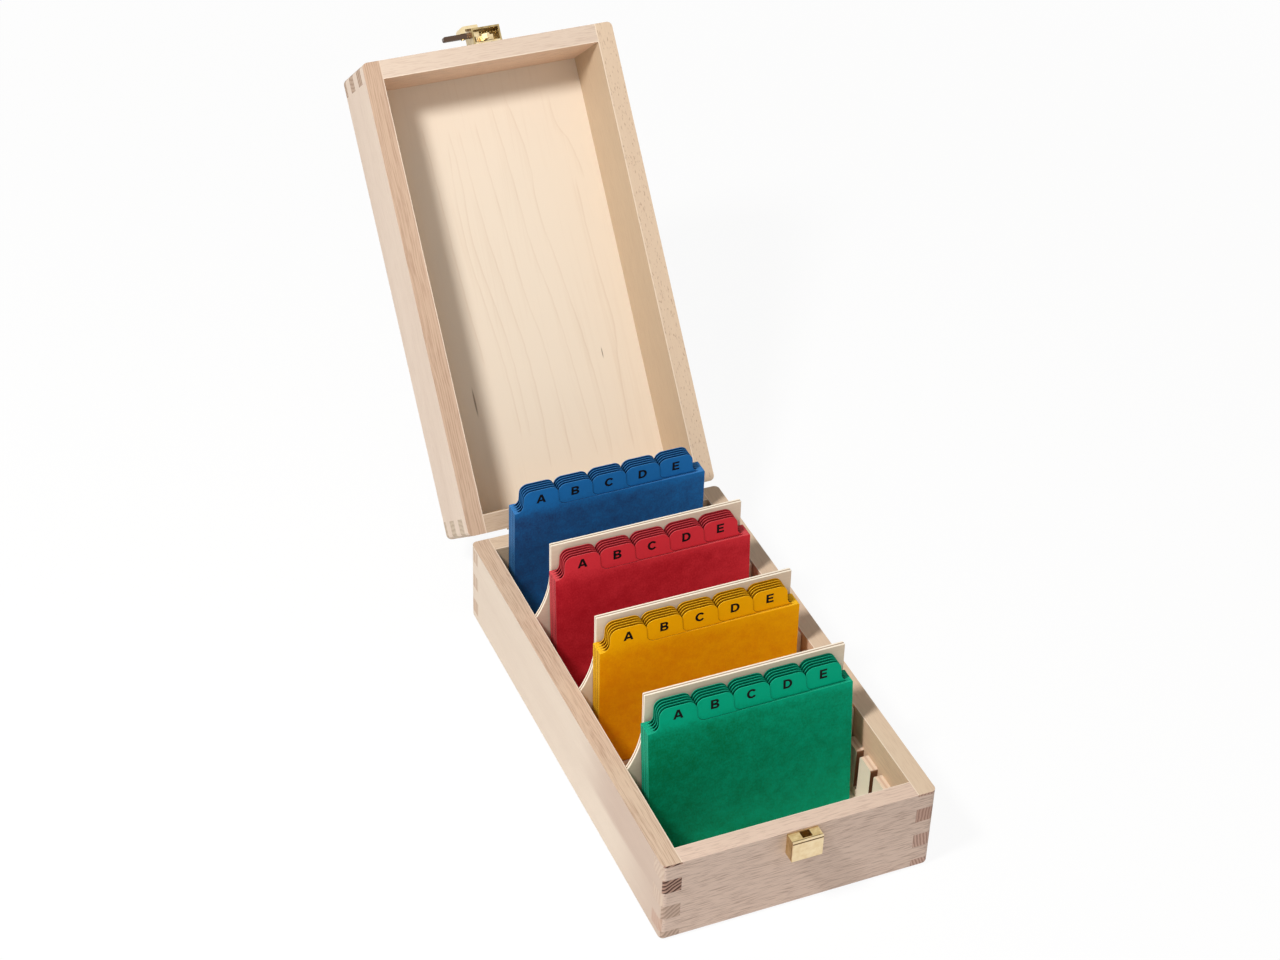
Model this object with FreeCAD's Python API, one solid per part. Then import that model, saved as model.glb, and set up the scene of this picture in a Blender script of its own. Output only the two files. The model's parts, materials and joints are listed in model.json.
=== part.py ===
"""Index card box in solid beech with a hinged deep lid, loose dividers and tabbed guide cards.

All sizes are in millimetres. The origin is under the centre of the base, +X points right as seen
from the front, +Y to the back and +Z up. Everything on the lid is modelled with the lid closed and
then swung open about the hinge pins, because the box stands open at rest.
"""
import FreeCAD, Part
import math
import os

Vector = FreeCAD.Vector

# ---- wooden case -----------------------------------------------------------------------------
box_width = 138.5           # outside, left to right
box_length = 249.0          # outside, front to back
base_height = 48.0
lid_height = 46.0
wall = 9.7                  # thickness of the beech boards
finger_pitch = 8.2          # height of one finger of the corner joints
finger_above_cut = 1.2      # the base keeps this much of the finger that the saw cut runs through
edge_radius = 2.8           # rounding of every outer edge except the sawn rims
panel_thickness = 4.0       # plywood bottom and lid panel
panel_rebate = 5.0          # how far the panels reach into the boards
closing_gap = 0.2           # left between the two rims when the lid is shut

# ---- slotted strips and dividers ---------------------------------------------------------------
strip_thickness = 4.0
strip_height = 27.0
strip_end_gap = 0.3
slot_pitch = 14.65
slots_each_way = 7          # slots in front of the middle one, and behind it
slot_floor = 4.0            # height of the strip left under a slot
tooth_radius = 1.6
divider_slots = (-4, 0, 4)  # slots in use, counted from the middle one
divider_thickness = 2.5
divider_lean_deg = 1.8      # the play in a slot lets the divider lean back
slot_play = 0.04            # left on each side of a leaning divider
divider_top = 85.0          # above the floor of the box
divider_neck_width = 102.5
divider_side_gap = 0.5      # between the wide foot and the wall of the box
divider_flare_radius = 45.0
divider_flare_start = 17.0  # below the top edge
loose_gap = 0.1             # under and behind pieces that only stand in the box

# ---- guide cards -------------------------------------------------------------------------------
card_width = 105.0
card_body_height = 71.0
card_thickness = 0.325
card_pitch = 0.345
card_rows = 5
tab_height = 12.0
tab_pitch = 18.7
tab_shift = -0.8             # of the row of tabs off the middle of the box
tab_top_half = 9.1
tab_foot_half = 9.8
tab_top_radius = 4.4
tab_foot_radius = 4.0
card_corner_radius = 0.45
tab_letters = ("a", "b", "c", "d", "e")
card_colours = ("green", "yellow", "red", "blue")   # from the front of the box to the back
card_leans_deg = (6.8, 2.2, 4.3, 0.0)               # how far each colour leans back
card_shifts = (-1.0, -0.35, 0.0, 0.1)               # how far the card edges sit off the middle of the box

# ---- hinges ------------------------------------------------------------------------------------
lid_opening_deg = 129.0
hinge_offset = 1.8          # pin axis behind the back face
hinge_spacing = 64.0        # between the middles of the two hinges
hinge_width = 26.0
leaf_thickness = 1.0
leaf_height = 14.0
leaf_corner_radius = 1.5
barrel_gap = 0.1            # barrel to wood
knuckle_gap = 0.25          # between neighbouring knuckles
knuckle_share = 0.36        # middle knuckle as a share of the hinge width
pin_radius = 0.8
pin_clearance = 0.04
pin_head_radius = 1.3
pin_head_height = 0.6
barrel_relief = 0.4         # leaf and stop lip to the turning barrel
lip_thickness = 1.0
lip_contact_gap = 0.02      # stop lip to the opened leaf

# ---- screws ------------------------------------------------------------------------------------
screw_radius = 0.9
screw_head_radius = 1.8
screw_length = 7.0
pan_head_height = 0.9
drive_slot_width = 0.45
drive_slot_depth = 0.4
leaf_screw_spacing = 15.0
leaf_screw_height = 9.0     # from the pin axis

# ---- keeper on the base ------------------------------------------------------------------------
keeper_width = 15.6
keeper_height = 12.0
keeper_depth = 6.55
keeper_sheet = 0.7
keeper_seam = 0.35          # dark line between the folded cover and the housing
keeper_drop = 0.95          # top of the keeper under the rim
socket_width = 5.0
socket_depth = 4.2
socket_shift = 0.4
keeper_screw_spacing = 7.2
keeper_screw_rise = 4.4     # above the keeper's lower edge

# ---- latch on the lid --------------------------------------------------------------------------
latch_width = 15.6
latch_height = 13.0
latch_depth = 8.4
latch_sheet = 1.0
latch_plate_thickness = 0.8
latch_screw_spacing = 9.2
latch_screw_rise = 9.6      # above the rim
bar_height = 3.2
bar_depth = 2.5
bar_rise = 3.0              # above the rim
bar_standoff = 4.3          # in front of the wood
bar_tail = 14.7             # length that shows beside the case
bar_inside = 4.8            # length inside the case
bar_bevel = 0.8
bar_clearance = 0.25
slide_travel = 2.3
inner_plate_depth = 2.7
inner_plate_gap = 0.4       # inner plate to the right wall when the slide is pushed in
inner_plate_height = 4.0
hook_width = 2.0
hook_depth = 2.6
hook_barb = 1.7
hook_barb_height = 1.5
hook_barb_gap = 0.3         # barb under the keeper's top plate
hook_tip = 0.9              # height of the rounded end under the barb
hook_side_gap = 0.2         # hook to the edge of the socket
plate_drop = 0.7            # inner plate below the bar
step_width = 2.5            # step from the bar back to the inner plate
thumb_width = 10.0
thumb_height = 8.0
thumb_top = 10.4            # in front of the wood
thumb_gap = 0.35            # over the case
thumb_stem_width = 2.8
thumb_drop = 1.0            # thumb piece below the bar
rivet_cover = 1.2           # metal left over the rivet's end
thumb_radius = 2.4
thumb_end_radius = 0.7
rivet_radius = 0.7
rivet_head_radius = 1.2
rivet_head_height = 0.5
spring_radius = 1.0
spring_wire = 0.36
spring_turns = 6
spring_end_gap = 0.05
spring_post_radius = 0.45
spring_post_length = 1.5

# ---- values worked out from the sizes above ----------------------------------------------------
half_width = box_width / 2
half_length = box_length / 2
inner_half_width = half_width - wall
inner_half_length = half_length - wall
slot_depth = strip_height - slot_floor
slot_middle_height = panel_thickness + slot_floor + slot_depth / 2
divider_lean = math.radians(divider_lean_deg)
leaning_thickness = divider_thickness / math.cos(divider_lean) + slot_depth * math.tan(divider_lean)
slot_width = leaning_thickness + 2 * slot_play
card_height = card_body_height + tab_height
lid_rim = base_height + closing_gap
lid_top = lid_rim + lid_height
hinge_y = half_length + hinge_offset
hinge_z = base_height + closing_gap / 2
barrel_radius = hinge_offset - barrel_gap
keeper_top = base_height - keeper_drop
keeper_bottom = keeper_top - keeper_height
middle_knuckle = hinge_width * knuckle_share + 2 * knuckle_gap
bar_low = lid_rim + bar_rise
spring_y = -half_length - bar_standoff - bar_depth / 2
spring_z = bar_low + bar_height / 2
inner_plate_right = latch_width / 2 - latch_sheet - slide_travel - inner_plate_gap
hook_left = socket_shift - socket_width / 2 + hook_side_gap
hook_off = keeper_sheet + (socket_depth - hook_depth) / 2
thumb_left = -latch_width / 2 - bar_clearance - slide_travel - thumb_stem_width
rivet_x = thumb_left + thumb_stem_width / 2
joined = 0.5                # how far fused features run into each other


# ---- general helpers ---------------------------------------------------------------------------
def block(x_low, x_high, y_low, y_high, z_low, z_high):
    """Box between two corners."""
    size = Vector(x_high - x_low, y_high - y_low, z_high - z_low)
    return Part.makeBox(size.x, size.y, size.z, Vector(x_low, y_low, z_low))


def cylinder_along_x(radius, x_low, x_high, y, z):
    """Cylinder lying across the box."""
    return Part.makeCylinder(radius, x_high - x_low, Vector(x_low, y, z), Vector(1, 0, 0))


def fused(pieces):
    """One solid from overlapping or touching pieces, without the seams between them."""
    whole = pieces[0]
    if len(pieces) > 1:
        whole = whole.fuse(pieces[1:])
    return whole.removeSplitter()


def rounded_outline(corners, place):
    """Closed face with rounded corners.

    corners is a list of (u, v, radius) in order round the outline, and place turns u, v into a point.
    """
    starts = []
    middles = []
    ends = []
    for index, (u, v, radius) in enumerate(corners):
        corner = Vector(u, v, 0)
        before = Vector(*corners[index - 1][:2], 0) - corner
        after = Vector(*corners[(index + 1) % len(corners)][:2], 0) - corner
        before.normalize()
        after.normalize()
        half_angle = before.getAngle(after) / 2
        reach = radius / math.tan(half_angle)
        towards_centre = (before + after).normalize()
        starts.append(corner + before * reach)
        middles.append(corner + towards_centre * (radius / math.sin(half_angle) - radius))
        ends.append(corner + after * reach)
    edges = []
    for index, (u, v, radius) in enumerate(corners):
        start = place(starts[index].x, starts[index].y)
        end = place(ends[index].x, ends[index].y)
        if radius > 0:
            middle = place(middles[index].x, middles[index].y)
            edges.append(Part.Arc(start, middle, end).toShape())
        following = starts[(index + 1) % len(corners)]
        next_start = place(following.x, following.y)
        edges.append(Part.LineSegment(end, next_start).toShape())
    return Part.Face(Part.Wire(edges))


def upright(y):
    """Place for an outline that stands across the box at this y."""
    return lambda x, z: Vector(x, y, z)


def opened(shape):
    """Shape swung from the closed to the open position of the lid."""
    swung = shape.copy()
    swung.rotate(Vector(0, hinge_y, hinge_z), Vector(1, 0, 0), -lid_opening_deg)
    return swung


def export(node, solids):
    """Write one node, as a single solid or as a group of separate solids."""
    shape = solids[0] if len(solids) == 1 else Part.makeCompound(solids)
    shape.exportStep("parts/" + node + ".step")


# ---- screws ------------------------------------------------------------------------------------
def countersunk_screw(x, y, z, head_depth):
    """Screw driven towards -Y, its flat head flush at y and its cone head_depth deep."""
    inwards = Vector(0, -1, 0)
    top = Vector(x, y, z)
    cone = Part.makeCone(screw_head_radius, screw_radius, head_depth, top, inwards)
    shank = Part.makeCylinder(screw_radius, screw_length, top, inwards)
    slot = drive_slot(x, y - drive_slot_depth, y, z, screw_head_radius)
    return fused([cone, shank]).cut(slot)


def pan_screw(x, y, z, grip):
    """Screw driven towards +Y, its head standing in front of a plate whose front face is at y."""
    seat = Vector(x, y, z)
    head = Part.makeCylinder(screw_head_radius, pan_head_height, seat, Vector(0, -1, 0))
    shank = Part.makeCylinder(screw_radius, grip, seat, Vector(0, 1, 0))
    front = y - pan_head_height
    slot = drive_slot(x, front, front + drive_slot_depth, z, screw_head_radius)
    return fused([head, shank]).cut(slot)


def drive_slot(x, y_low, y_high, z, reach):
    """Straight slot across a screw head."""
    half = drive_slot_width / 2
    return block(x - reach, x + reach, y_low, y_high, z - half, z + half)


def screw_bore(x, y, z, direction, length):
    """Hole that a screw's shank fills."""
    return Part.makeCylinder(screw_radius, length, Vector(x, y, z), Vector(0, direction, 0))


# ---- boards of the base and the lid --------------------------------------------------------------
def finger_rows(height, first):
    """Near and far edge of each finger, counted from the sawn rim where part of one is left."""
    rows = [(0.0, first)]
    near = first
    while near < height - finger_pitch / 10:
        rows.append((near, min(near + finger_pitch, height)))
        near += finger_pitch
    return rows


def rounded_case(rim, outer):
    """Solid block of the whole base or lid, rounded everywhere but at its sawn rim."""
    low, high = sorted((rim, outer))
    case = block(-half_width, half_width, -half_length, half_length, low, high)
    soft_edges = []
    for edge in case.Edges:
        box = edge.BoundBox
        if box.ZLength > finger_pitch / 10 or abs(box.ZMin - outer) < panel_thickness / 10:
            soft_edges.append(edge)
    return case.makeFillet(edge_radius, soft_edges)


def four_boards(rim, outer, first_finger):
    """Front, back, left and right board between a sawn rim and the outer face, finger jointed."""
    rows = finger_rows(abs(outer - rim), first_finger)
    low, high = sorted((rim, outer))
    towards_outer = 1 if outer > rim else -1
    case = rounded_case(rim, outer)
    panel = panel_solid(rim, outer)
    boards = {}
    for side, y_side in (("front", -1), ("back", 1)):
        y_low, y_high = sorted((y_side * half_length, y_side * inner_half_length))
        pieces = [block(-inner_half_width, inner_half_width, y_low, y_high, low, high)]
        for near, far in rows[1::2]:
            z_low, z_high = sorted((rim + towards_outer * near, rim + towards_outer * far))
            pieces.append(block(-half_width, half_width, y_low, y_high, z_low, z_high))
        boards[side] = fused(pieces).common(case).cut(panel)
    for side, x_side in (("left", -1), ("right", 1)):
        x_low, x_high = sorted((x_side * half_width, x_side * inner_half_width))
        pieces = [block(x_low, x_high, -inner_half_length, inner_half_length, low, high)]
        for near, far in rows[0::2]:
            z_low, z_high = sorted((rim + towards_outer * near, rim + towards_outer * far))
            pieces.append(block(x_low, x_high, -half_length, half_length, z_low, z_high))
        boards[side] = fused(pieces).common(case).cut(panel)
    return boards


def panel_solid(rim, outer):
    """Plywood panel let into the outer side of the four boards, flush with their edges."""
    inner_face = outer - panel_thickness if outer > rim else outer + panel_thickness
    low, high = sorted((inner_face, outer))
    x_reach = inner_half_width + panel_rebate
    y_reach = inner_half_length + panel_rebate
    return block(-x_reach, x_reach, -y_reach, y_reach, low, high)


# ---- strips and dividers -------------------------------------------------------------------------
def slot_centre(index):
    """Place along the box of a slot, counted from the middle one."""
    return index * slot_pitch


def divider_face(index, height):
    """Place along the box of the front face of a leaning divider, at some height."""
    rise = (height - slot_middle_height) * math.tan(divider_lean)
    return slot_centre(index) + rise - divider_thickness / 2 / math.cos(divider_lean)


def slot_strip(side):
    """Comb-shaped strip glued to the left (-1) or right (+1) inner face."""
    x_low, x_high = sorted((side * inner_half_width, side * (inner_half_width - strip_thickness)))
    reach = inner_half_length - strip_end_gap
    top = panel_thickness + strip_height
    strip = block(x_low, x_high, -reach, reach, panel_thickness, top)
    slots = []
    for index in range(-slots_each_way, slots_each_way + 1):
        middle = slot_centre(index)
        if abs(middle) + slot_width < reach:
            slots.append(block(x_low - joined, x_high + joined, middle - slot_width / 2,
                               middle + slot_width / 2, panel_thickness + slot_floor, top + joined))
    comb = strip.cut(slots)
    mouths = []
    for edge in comb.Edges:
        box = edge.BoundBox
        across = abs(box.XLength - strip_thickness) < strip_thickness / 100
        at_top = abs(box.ZMin - top) < strip_height / 1000 and box.ZLength < strip_height / 1000
        inside = abs(box.YMin) < reach - strip_end_gap / 2
        if across and at_top and inside and box.YLength < slot_width / 100:
            mouths.append(edge)
    return comb.makeFillet(tooth_radius, mouths)


def divider(index):
    """Thin board that leans in one pair of slots, wide at its foot and narrow above the rim."""
    y = slot_centre(index) - divider_thickness / 2
    low = panel_thickness + slot_floor + loose_gap
    top = panel_thickness + divider_top
    neck = divider_neck_width / 2
    foot = inner_half_width - divider_side_gap
    flare_top = top - divider_flare_start
    spread = foot - neck
    radius = divider_flare_radius
    flare_low = flare_top - math.sqrt(radius ** 2 - (radius - spread) ** 2)
    half_turn = math.acos((radius - spread) / radius) / 2
    bow_x = neck + radius * (1 - math.cos(half_turn))
    bow_z = flare_top - radius * math.sin(half_turn)
    place = upright(y)

    def flare(side):
        points = [place(side * x, z) for x, z in ((foot, flare_low), (bow_x, bow_z), (neck, flare_top))]
        return Part.Arc(*points).toShape()

    def line(x_start, z_start, x_end, z_end):
        return Part.LineSegment(place(x_start, z_start), place(x_end, z_end)).toShape()

    edges = [
        line(-foot, low, foot, low),
        line(foot, low, foot, flare_low),
        flare(1),
        line(neck, flare_top, neck, top),
        line(neck, top, -neck, top),
        line(-neck, top, -neck, flare_top),
        flare(-1),
        line(-foot, flare_low, -foot, low),
    ]
    face = Part.Face(Part.Wire(Part.__sortEdges__(edges)))
    board = face.extrude(Vector(0, divider_thickness, 0))
    board.rotate(Vector(0, slot_centre(index), slot_middle_height), Vector(1, 0, 0), -divider_lean_deg)
    return board


# ---- guide cards ---------------------------------------------------------------------------------
def guide_card(tab_index, y, lean_deg, shift):
    """Card whose front face stands on the floor at y and leans back, its tab at one of five places."""
    low = panel_thickness + loose_gap
    shoulder = panel_thickness + card_body_height
    top = shoulder + tab_height
    left = shift - card_width / 2
    right = shift + card_width / 2
    middle = (tab_index - (len(tab_letters) - 1) / 2) * tab_pitch + tab_shift
    corners = [
        (left, low, 0.0),
        (right, low, 0.0),
        (right, shoulder, card_corner_radius),
        (middle + tab_foot_half, shoulder, tab_foot_radius),
        (middle + tab_top_half, top, tab_top_radius),
        (middle - tab_top_half, top, tab_top_radius),
        (middle - tab_foot_half, shoulder, tab_foot_radius),
        (left, shoulder, card_corner_radius),
    ]
    card = rounded_outline(corners, upright(y)).extrude(Vector(0, card_thickness, 0))
    card.rotate(Vector(0, y, low), Vector(1, 0, 0), -lean_deg)
    return card


def card_set(divider_index, lean_deg, shift):
    """Five letters of guide cards whose tops lean on a divider, or on the back board without one."""
    lean = math.radians(lean_deg)
    support_y = inner_half_length
    if divider_index is not None:
        support_y = divider_face(divider_index, panel_thickness + card_height * math.cos(lean))
    spacing = card_pitch / math.cos(lean)
    count = card_rows * len(tab_letters)
    overhang = card_height * math.sin(lean)
    front = support_y - loose_gap - overhang - count * spacing
    cards = {letter: [] for letter in tab_letters}
    for row in range(card_rows):
        for tab_index, letter in enumerate(tab_letters):
            place = row * len(tab_letters) + tab_index
            card = guide_card(tab_index, front + place * spacing, lean_deg, shift)
            cards[letter].append(card)
    return cards


# ---- hinges --------------------------------------------------------------------------------------
def leaf_plate(x_middle, direction):
    """Flat leaf on the back of the base (-1) or the lid (+1), cut clear of the turning barrel."""
    near = hinge_z + direction * (barrel_radius + barrel_relief)
    far = hinge_z + direction * leaf_height
    half = hinge_width / 2
    corners = [
        (x_middle - half, near, 0.0),
        (x_middle + half, near, 0.0),
        (x_middle + half, far, leaf_corner_radius),
        (x_middle - half, far, leaf_corner_radius),
    ]
    outline = rounded_outline(corners, upright(half_length))
    return outline.extrude(Vector(0, leaf_thickness, 0))


def knuckle(x_low, x_high, direction, bore_radius):
    """Rolled part of a leaf round the pin, with the strip of leaf that leads into it."""
    axis = Vector(1, 0, 0)
    start = Vector(x_low, hinge_y, hinge_z)
    barrel = Part.makeCylinder(barrel_radius, x_high - x_low, start, axis)
    z_low, z_high = sorted((hinge_z, hinge_z + direction * (barrel_radius + barrel_relief + joined)))
    strip = block(x_low, x_high, half_length, half_length + leaf_thickness, z_low, z_high)
    bore = Part.makeCylinder(bore_radius, x_high - x_low, start, axis)
    return fused([barrel, strip]).cut(bore)


def stop_lip(x_middle):
    """Lip bent out of the base leaf, under the middle knuckle, that stops the opened lid leaf."""
    turn = math.radians(lid_opening_deg)
    inset = hinge_offset - leaf_thickness
    drop = barrel_radius + barrel_relief
    along_leaf = (drop + inset * math.sin(turn)) / -math.cos(turn)
    reach = along_leaf * math.sin(turn) - inset * math.cos(turn) - lip_contact_gap
    half = middle_knuckle / 2 - knuckle_gap
    return block(x_middle - half, x_middle + half, half_length, hinge_y + reach,
                 hinge_z - drop - lip_thickness, hinge_z - drop)


def leaf_screws(x_middle, direction):
    """Two countersunk screws that hold one leaf."""
    z = hinge_z + direction * leaf_screw_height
    screws = []
    for x in (x_middle - leaf_screw_spacing / 2, x_middle + leaf_screw_spacing / 2):
        screws.append(countersunk_screw(x, half_length + leaf_thickness, z, leaf_thickness))
    return screws


def leaf_screw_bores(x_middle, direction):
    """The holes in the back board under the screws of one leaf."""
    z = hinge_z + direction * leaf_screw_height
    depth = screw_length - leaf_thickness
    bores = []
    for x in (x_middle - leaf_screw_spacing / 2, x_middle + leaf_screw_spacing / 2):
        bores.append(screw_bore(x, half_length, z, -1, depth))
    return bores


def countersinks(x_middle, direction):
    """Cone-shaped holes in one leaf for its screw heads."""
    z = hinge_z + direction * leaf_screw_height
    cones = []
    for x in (x_middle - leaf_screw_spacing / 2, x_middle + leaf_screw_spacing / 2):
        top = Vector(x, half_length + leaf_thickness, z)
        cones.append(Part.makeCone(screw_head_radius, screw_radius, leaf_thickness, top, Vector(0, -1, 0)))
    return cones


def hinge(x_middle):
    """Base leaf, closed lid leaf and pin of one hinge."""
    half = hinge_width / 2
    inner = middle_knuckle / 2
    base_pieces = [
        leaf_plate(x_middle, -1),
        knuckle(x_middle - half, x_middle - inner, -1, pin_radius),
        knuckle(x_middle + inner, x_middle + half, -1, pin_radius),
        stop_lip(x_middle),
    ]
    reach = inner - knuckle_gap
    lid_pieces = [
        leaf_plate(x_middle, 1),
        knuckle(x_middle - reach, x_middle + reach, 1, pin_radius + pin_clearance),
    ]
    pin_pieces = [cylinder_along_x(pin_radius, x_middle - half, x_middle + half, hinge_y, hinge_z)]
    for x_low in (x_middle - half - pin_head_height, x_middle + half):
        pin_pieces.append(cylinder_along_x(pin_head_radius, x_low, x_low + pin_head_height, hinge_y, hinge_z))
    return {
        "base_leaf": fused(base_pieces).cut(countersinks(x_middle, -1)),
        "lid_leaf": fused(lid_pieces).cut(countersinks(x_middle, 1)),
        "pin": fused(pin_pieces),
    }


# ---- keeper --------------------------------------------------------------------------------------
def front_block(x_low, x_high, off_low, off_high, z_low, z_high):
    """Block in front of the box, its depth measured outwards from the front face."""
    return block(x_low, x_high, -half_length - off_high, -half_length - off_low, z_low, z_high)


def keeper_screw_places():
    """x and z of the two screws of the keeper."""
    z = keeper_bottom + keeper_screw_rise
    return [(-keeper_screw_spacing / 2, z), (keeper_screw_spacing / 2, z)]


def keeper():
    """Housing with the socket for the hook, and the folded cover in front of it."""
    half = keeper_width / 2
    sheet = keeper_sheet
    depth = keeper_depth - keeper_sheet - keeper_seam
    housing = fused([
        front_block(-half, half, 0, sheet, keeper_bottom, keeper_top),
        front_block(-half, -half + sheet, 0, depth, keeper_bottom, keeper_top),
        front_block(half - sheet, half, 0, depth, keeper_bottom, keeper_top),
        front_block(-half, half, 0, depth, keeper_top - sheet, keeper_top),
    ])
    socket = front_block(socket_shift - socket_width / 2, socket_shift + socket_width / 2,
                         sheet, sheet + socket_depth, keeper_top - sheet - joined, keeper_top + joined)
    bores = []
    for x, z in keeper_screw_places():
        bores.append(screw_bore(x, -half_length - sheet, z, 1, sheet))
    cover = fused([
        front_block(-half, half, keeper_depth - sheet, keeper_depth, keeper_bottom, keeper_top),
        front_block(-half + sheet, half - sheet, sheet, keeper_depth, keeper_bottom, keeper_bottom + sheet),
    ])
    return housing.cut([socket] + bores), cover


# ---- latch (modelled closed) -----------------------------------------------------------------------
def latch_screw_places():
    """x and z of the two screws of the latch."""
    z = lid_rim + latch_screw_rise
    return [(-latch_screw_spacing / 2, z), (latch_screw_spacing / 2, z)]


def latch_case():
    """Folded case, open towards the rim, with a window for the bar and a post for the spring."""
    half = latch_width / 2
    sheet = latch_sheet
    top = lid_rim + latch_height
    walls = [
        front_block(-half, half, latch_depth - sheet, latch_depth, lid_rim, top),
        front_block(-half, -half + sheet, 0, latch_depth, lid_rim, top),
        front_block(half - sheet, half, 0, latch_depth, lid_rim, top),
        front_block(-half, half, 0, latch_depth, top - sheet, top),
        cylinder_along_x(spring_post_radius, half - sheet - spring_post_length, half - sheet / 2,
                         spring_y, spring_z),
    ]
    window = front_block(-half - joined, -half + sheet + joined,
                         bar_standoff - bar_clearance, bar_standoff + bar_depth + bar_clearance,
                         bar_low - bar_clearance, bar_low + bar_height + bar_clearance)
    return fused(walls).cut(window)


def latch_back_plate():
    """Plate between the walls of the case that the screws hold to the wood."""
    half = latch_width / 2 - latch_sheet
    plate = front_block(-half, half, 0, latch_plate_thickness, lid_rim, lid_rim + latch_height - latch_sheet)
    bores = []
    for x, z in latch_screw_places():
        bores.append(screw_bore(x, -half_length - latch_plate_thickness, z, 1, latch_plate_thickness))
    return plate.cut(bores)


def hook():
    """Tongue that drops into the keeper, with a barb that catches under its top plate."""
    shoulder = keeper_top - keeper_sheet - hook_barb_gap
    left = hook_left
    right = hook_left + hook_width
    outline = [
        (left, bar_low, 0.0),
        (left, shoulder, 0.0),
        (left - hook_barb, shoulder, 0.0),
        (left - hook_barb, shoulder - hook_barb_height / 3, 0.0),
        (left + hook_width / 3, shoulder - hook_barb_height - hook_tip, 0.0),
        (right, shoulder - hook_barb_height - hook_tip, 0.0),
        (right, bar_low, 0.0),
    ]
    face = rounded_outline(outline, upright(-half_length - hook_off - hook_depth))
    return face.extrude(Vector(0, hook_depth, 0))


def latch_slide():
    """Sliding bar with its stepped inner plate, the hook and the post for the spring."""
    left_wall = -latch_width / 2
    bar_left = left_wall - bar_tail
    bar_right = left_wall + bar_inside
    bar_top = bar_low + bar_height
    bar_front = bar_standoff + bar_depth
    bar = front_block(bar_left, bar_right, bar_standoff, bar_front, bar_low, bar_top)
    tail_edges = []
    for edge in bar.Edges:
        box = edge.BoundBox
        if box.XMax < bar_left + bar_bevel and box.ZLength > bar_height / 2:
            tail_edges.append(edge)
    bar = bar.makeFillet(bar_bevel, tail_edges)
    step = front_block(bar_right - step_width, bar_right, hook_off, bar_front, bar_low, bar_top)
    plate_low = bar_low - plate_drop
    plate = front_block(bar_right - step_width, inner_plate_right, hook_off, hook_off + inner_plate_depth,
                        plate_low, plate_low + inner_plate_height)
    post = cylinder_along_x(spring_post_radius, bar_right - joined, bar_right + spring_post_length,
                            spring_y, spring_z)
    bore = rivet_bore(bar_standoff, bar_front)
    return fused([bar, step, plate, post, hook()]).cut(bore)


def rivet_bore(off_low, off_high):
    """Hole for the rivet that joins the thumb piece to the bar."""
    depth = off_high - off_low
    start = Vector(rivet_x, -half_length - off_high, spring_z)
    return Part.makeCylinder(rivet_radius, depth, start, Vector(0, 1, 0))


def thumb_piece():
    """Folded thumb piece: a stem on the bar and a tongue that reaches over the case."""
    stem_low = bar_standoff + bar_depth
    tongue_low = latch_depth + thumb_gap
    right = thumb_left + thumb_width
    outline = [
        (thumb_left, stem_low, 0.0),
        (thumb_left + thumb_stem_width, stem_low, 0.0),
        (thumb_left + thumb_stem_width, tongue_low, 0.0),
        (right, tongue_low, 0.0),
        (right, thumb_top, thumb_end_radius),
        (thumb_left, thumb_top, thumb_radius),
    ]
    low = bar_low - thumb_drop
    face = rounded_outline(outline, lambda x, off: Vector(x, -half_length - off, low))
    solid = face.extrude(Vector(0, 0, thumb_height))
    return solid.cut(rivet_bore(stem_low, thumb_top - rivet_cover))


def thumb_rivet():
    """Rivet from the back of the bar into the stem of the thumb piece."""
    shank = rivet_bore(bar_standoff, thumb_top - rivet_cover)
    head_start = Vector(rivet_x, -half_length - bar_standoff, spring_z)
    head = Part.makeCylinder(rivet_head_radius, rivet_head_height, head_start, Vector(0, 1, 0))
    return fused([shank, head])


def coil_spring():
    """Coil spring between the slide and the right wall of the case."""
    start = -latch_width / 2 + bar_inside + spring_wire / 2 + spring_end_gap
    end = latch_width / 2 - latch_sheet - spring_wire / 2 - spring_end_gap
    length = end - start
    coil_radius = spring_radius - spring_wire / 2
    path = Part.makeHelix(length / spring_turns, length, coil_radius)
    section = Part.Wire(Part.makeCircle(spring_wire / 2, Vector(coil_radius, 0, 0), Vector(0, 1, 0)))
    coil = Part.Wire(path).makePipeShell([section], True, True)
    coil = Part.Solid(coil) if coil.ShapeType == "Shell" else coil
    coil.rotate(Vector(0, 0, 0), Vector(0, 1, 0), 90)
    coil.translate(Vector(start, spring_y, spring_z))
    return coil


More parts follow.
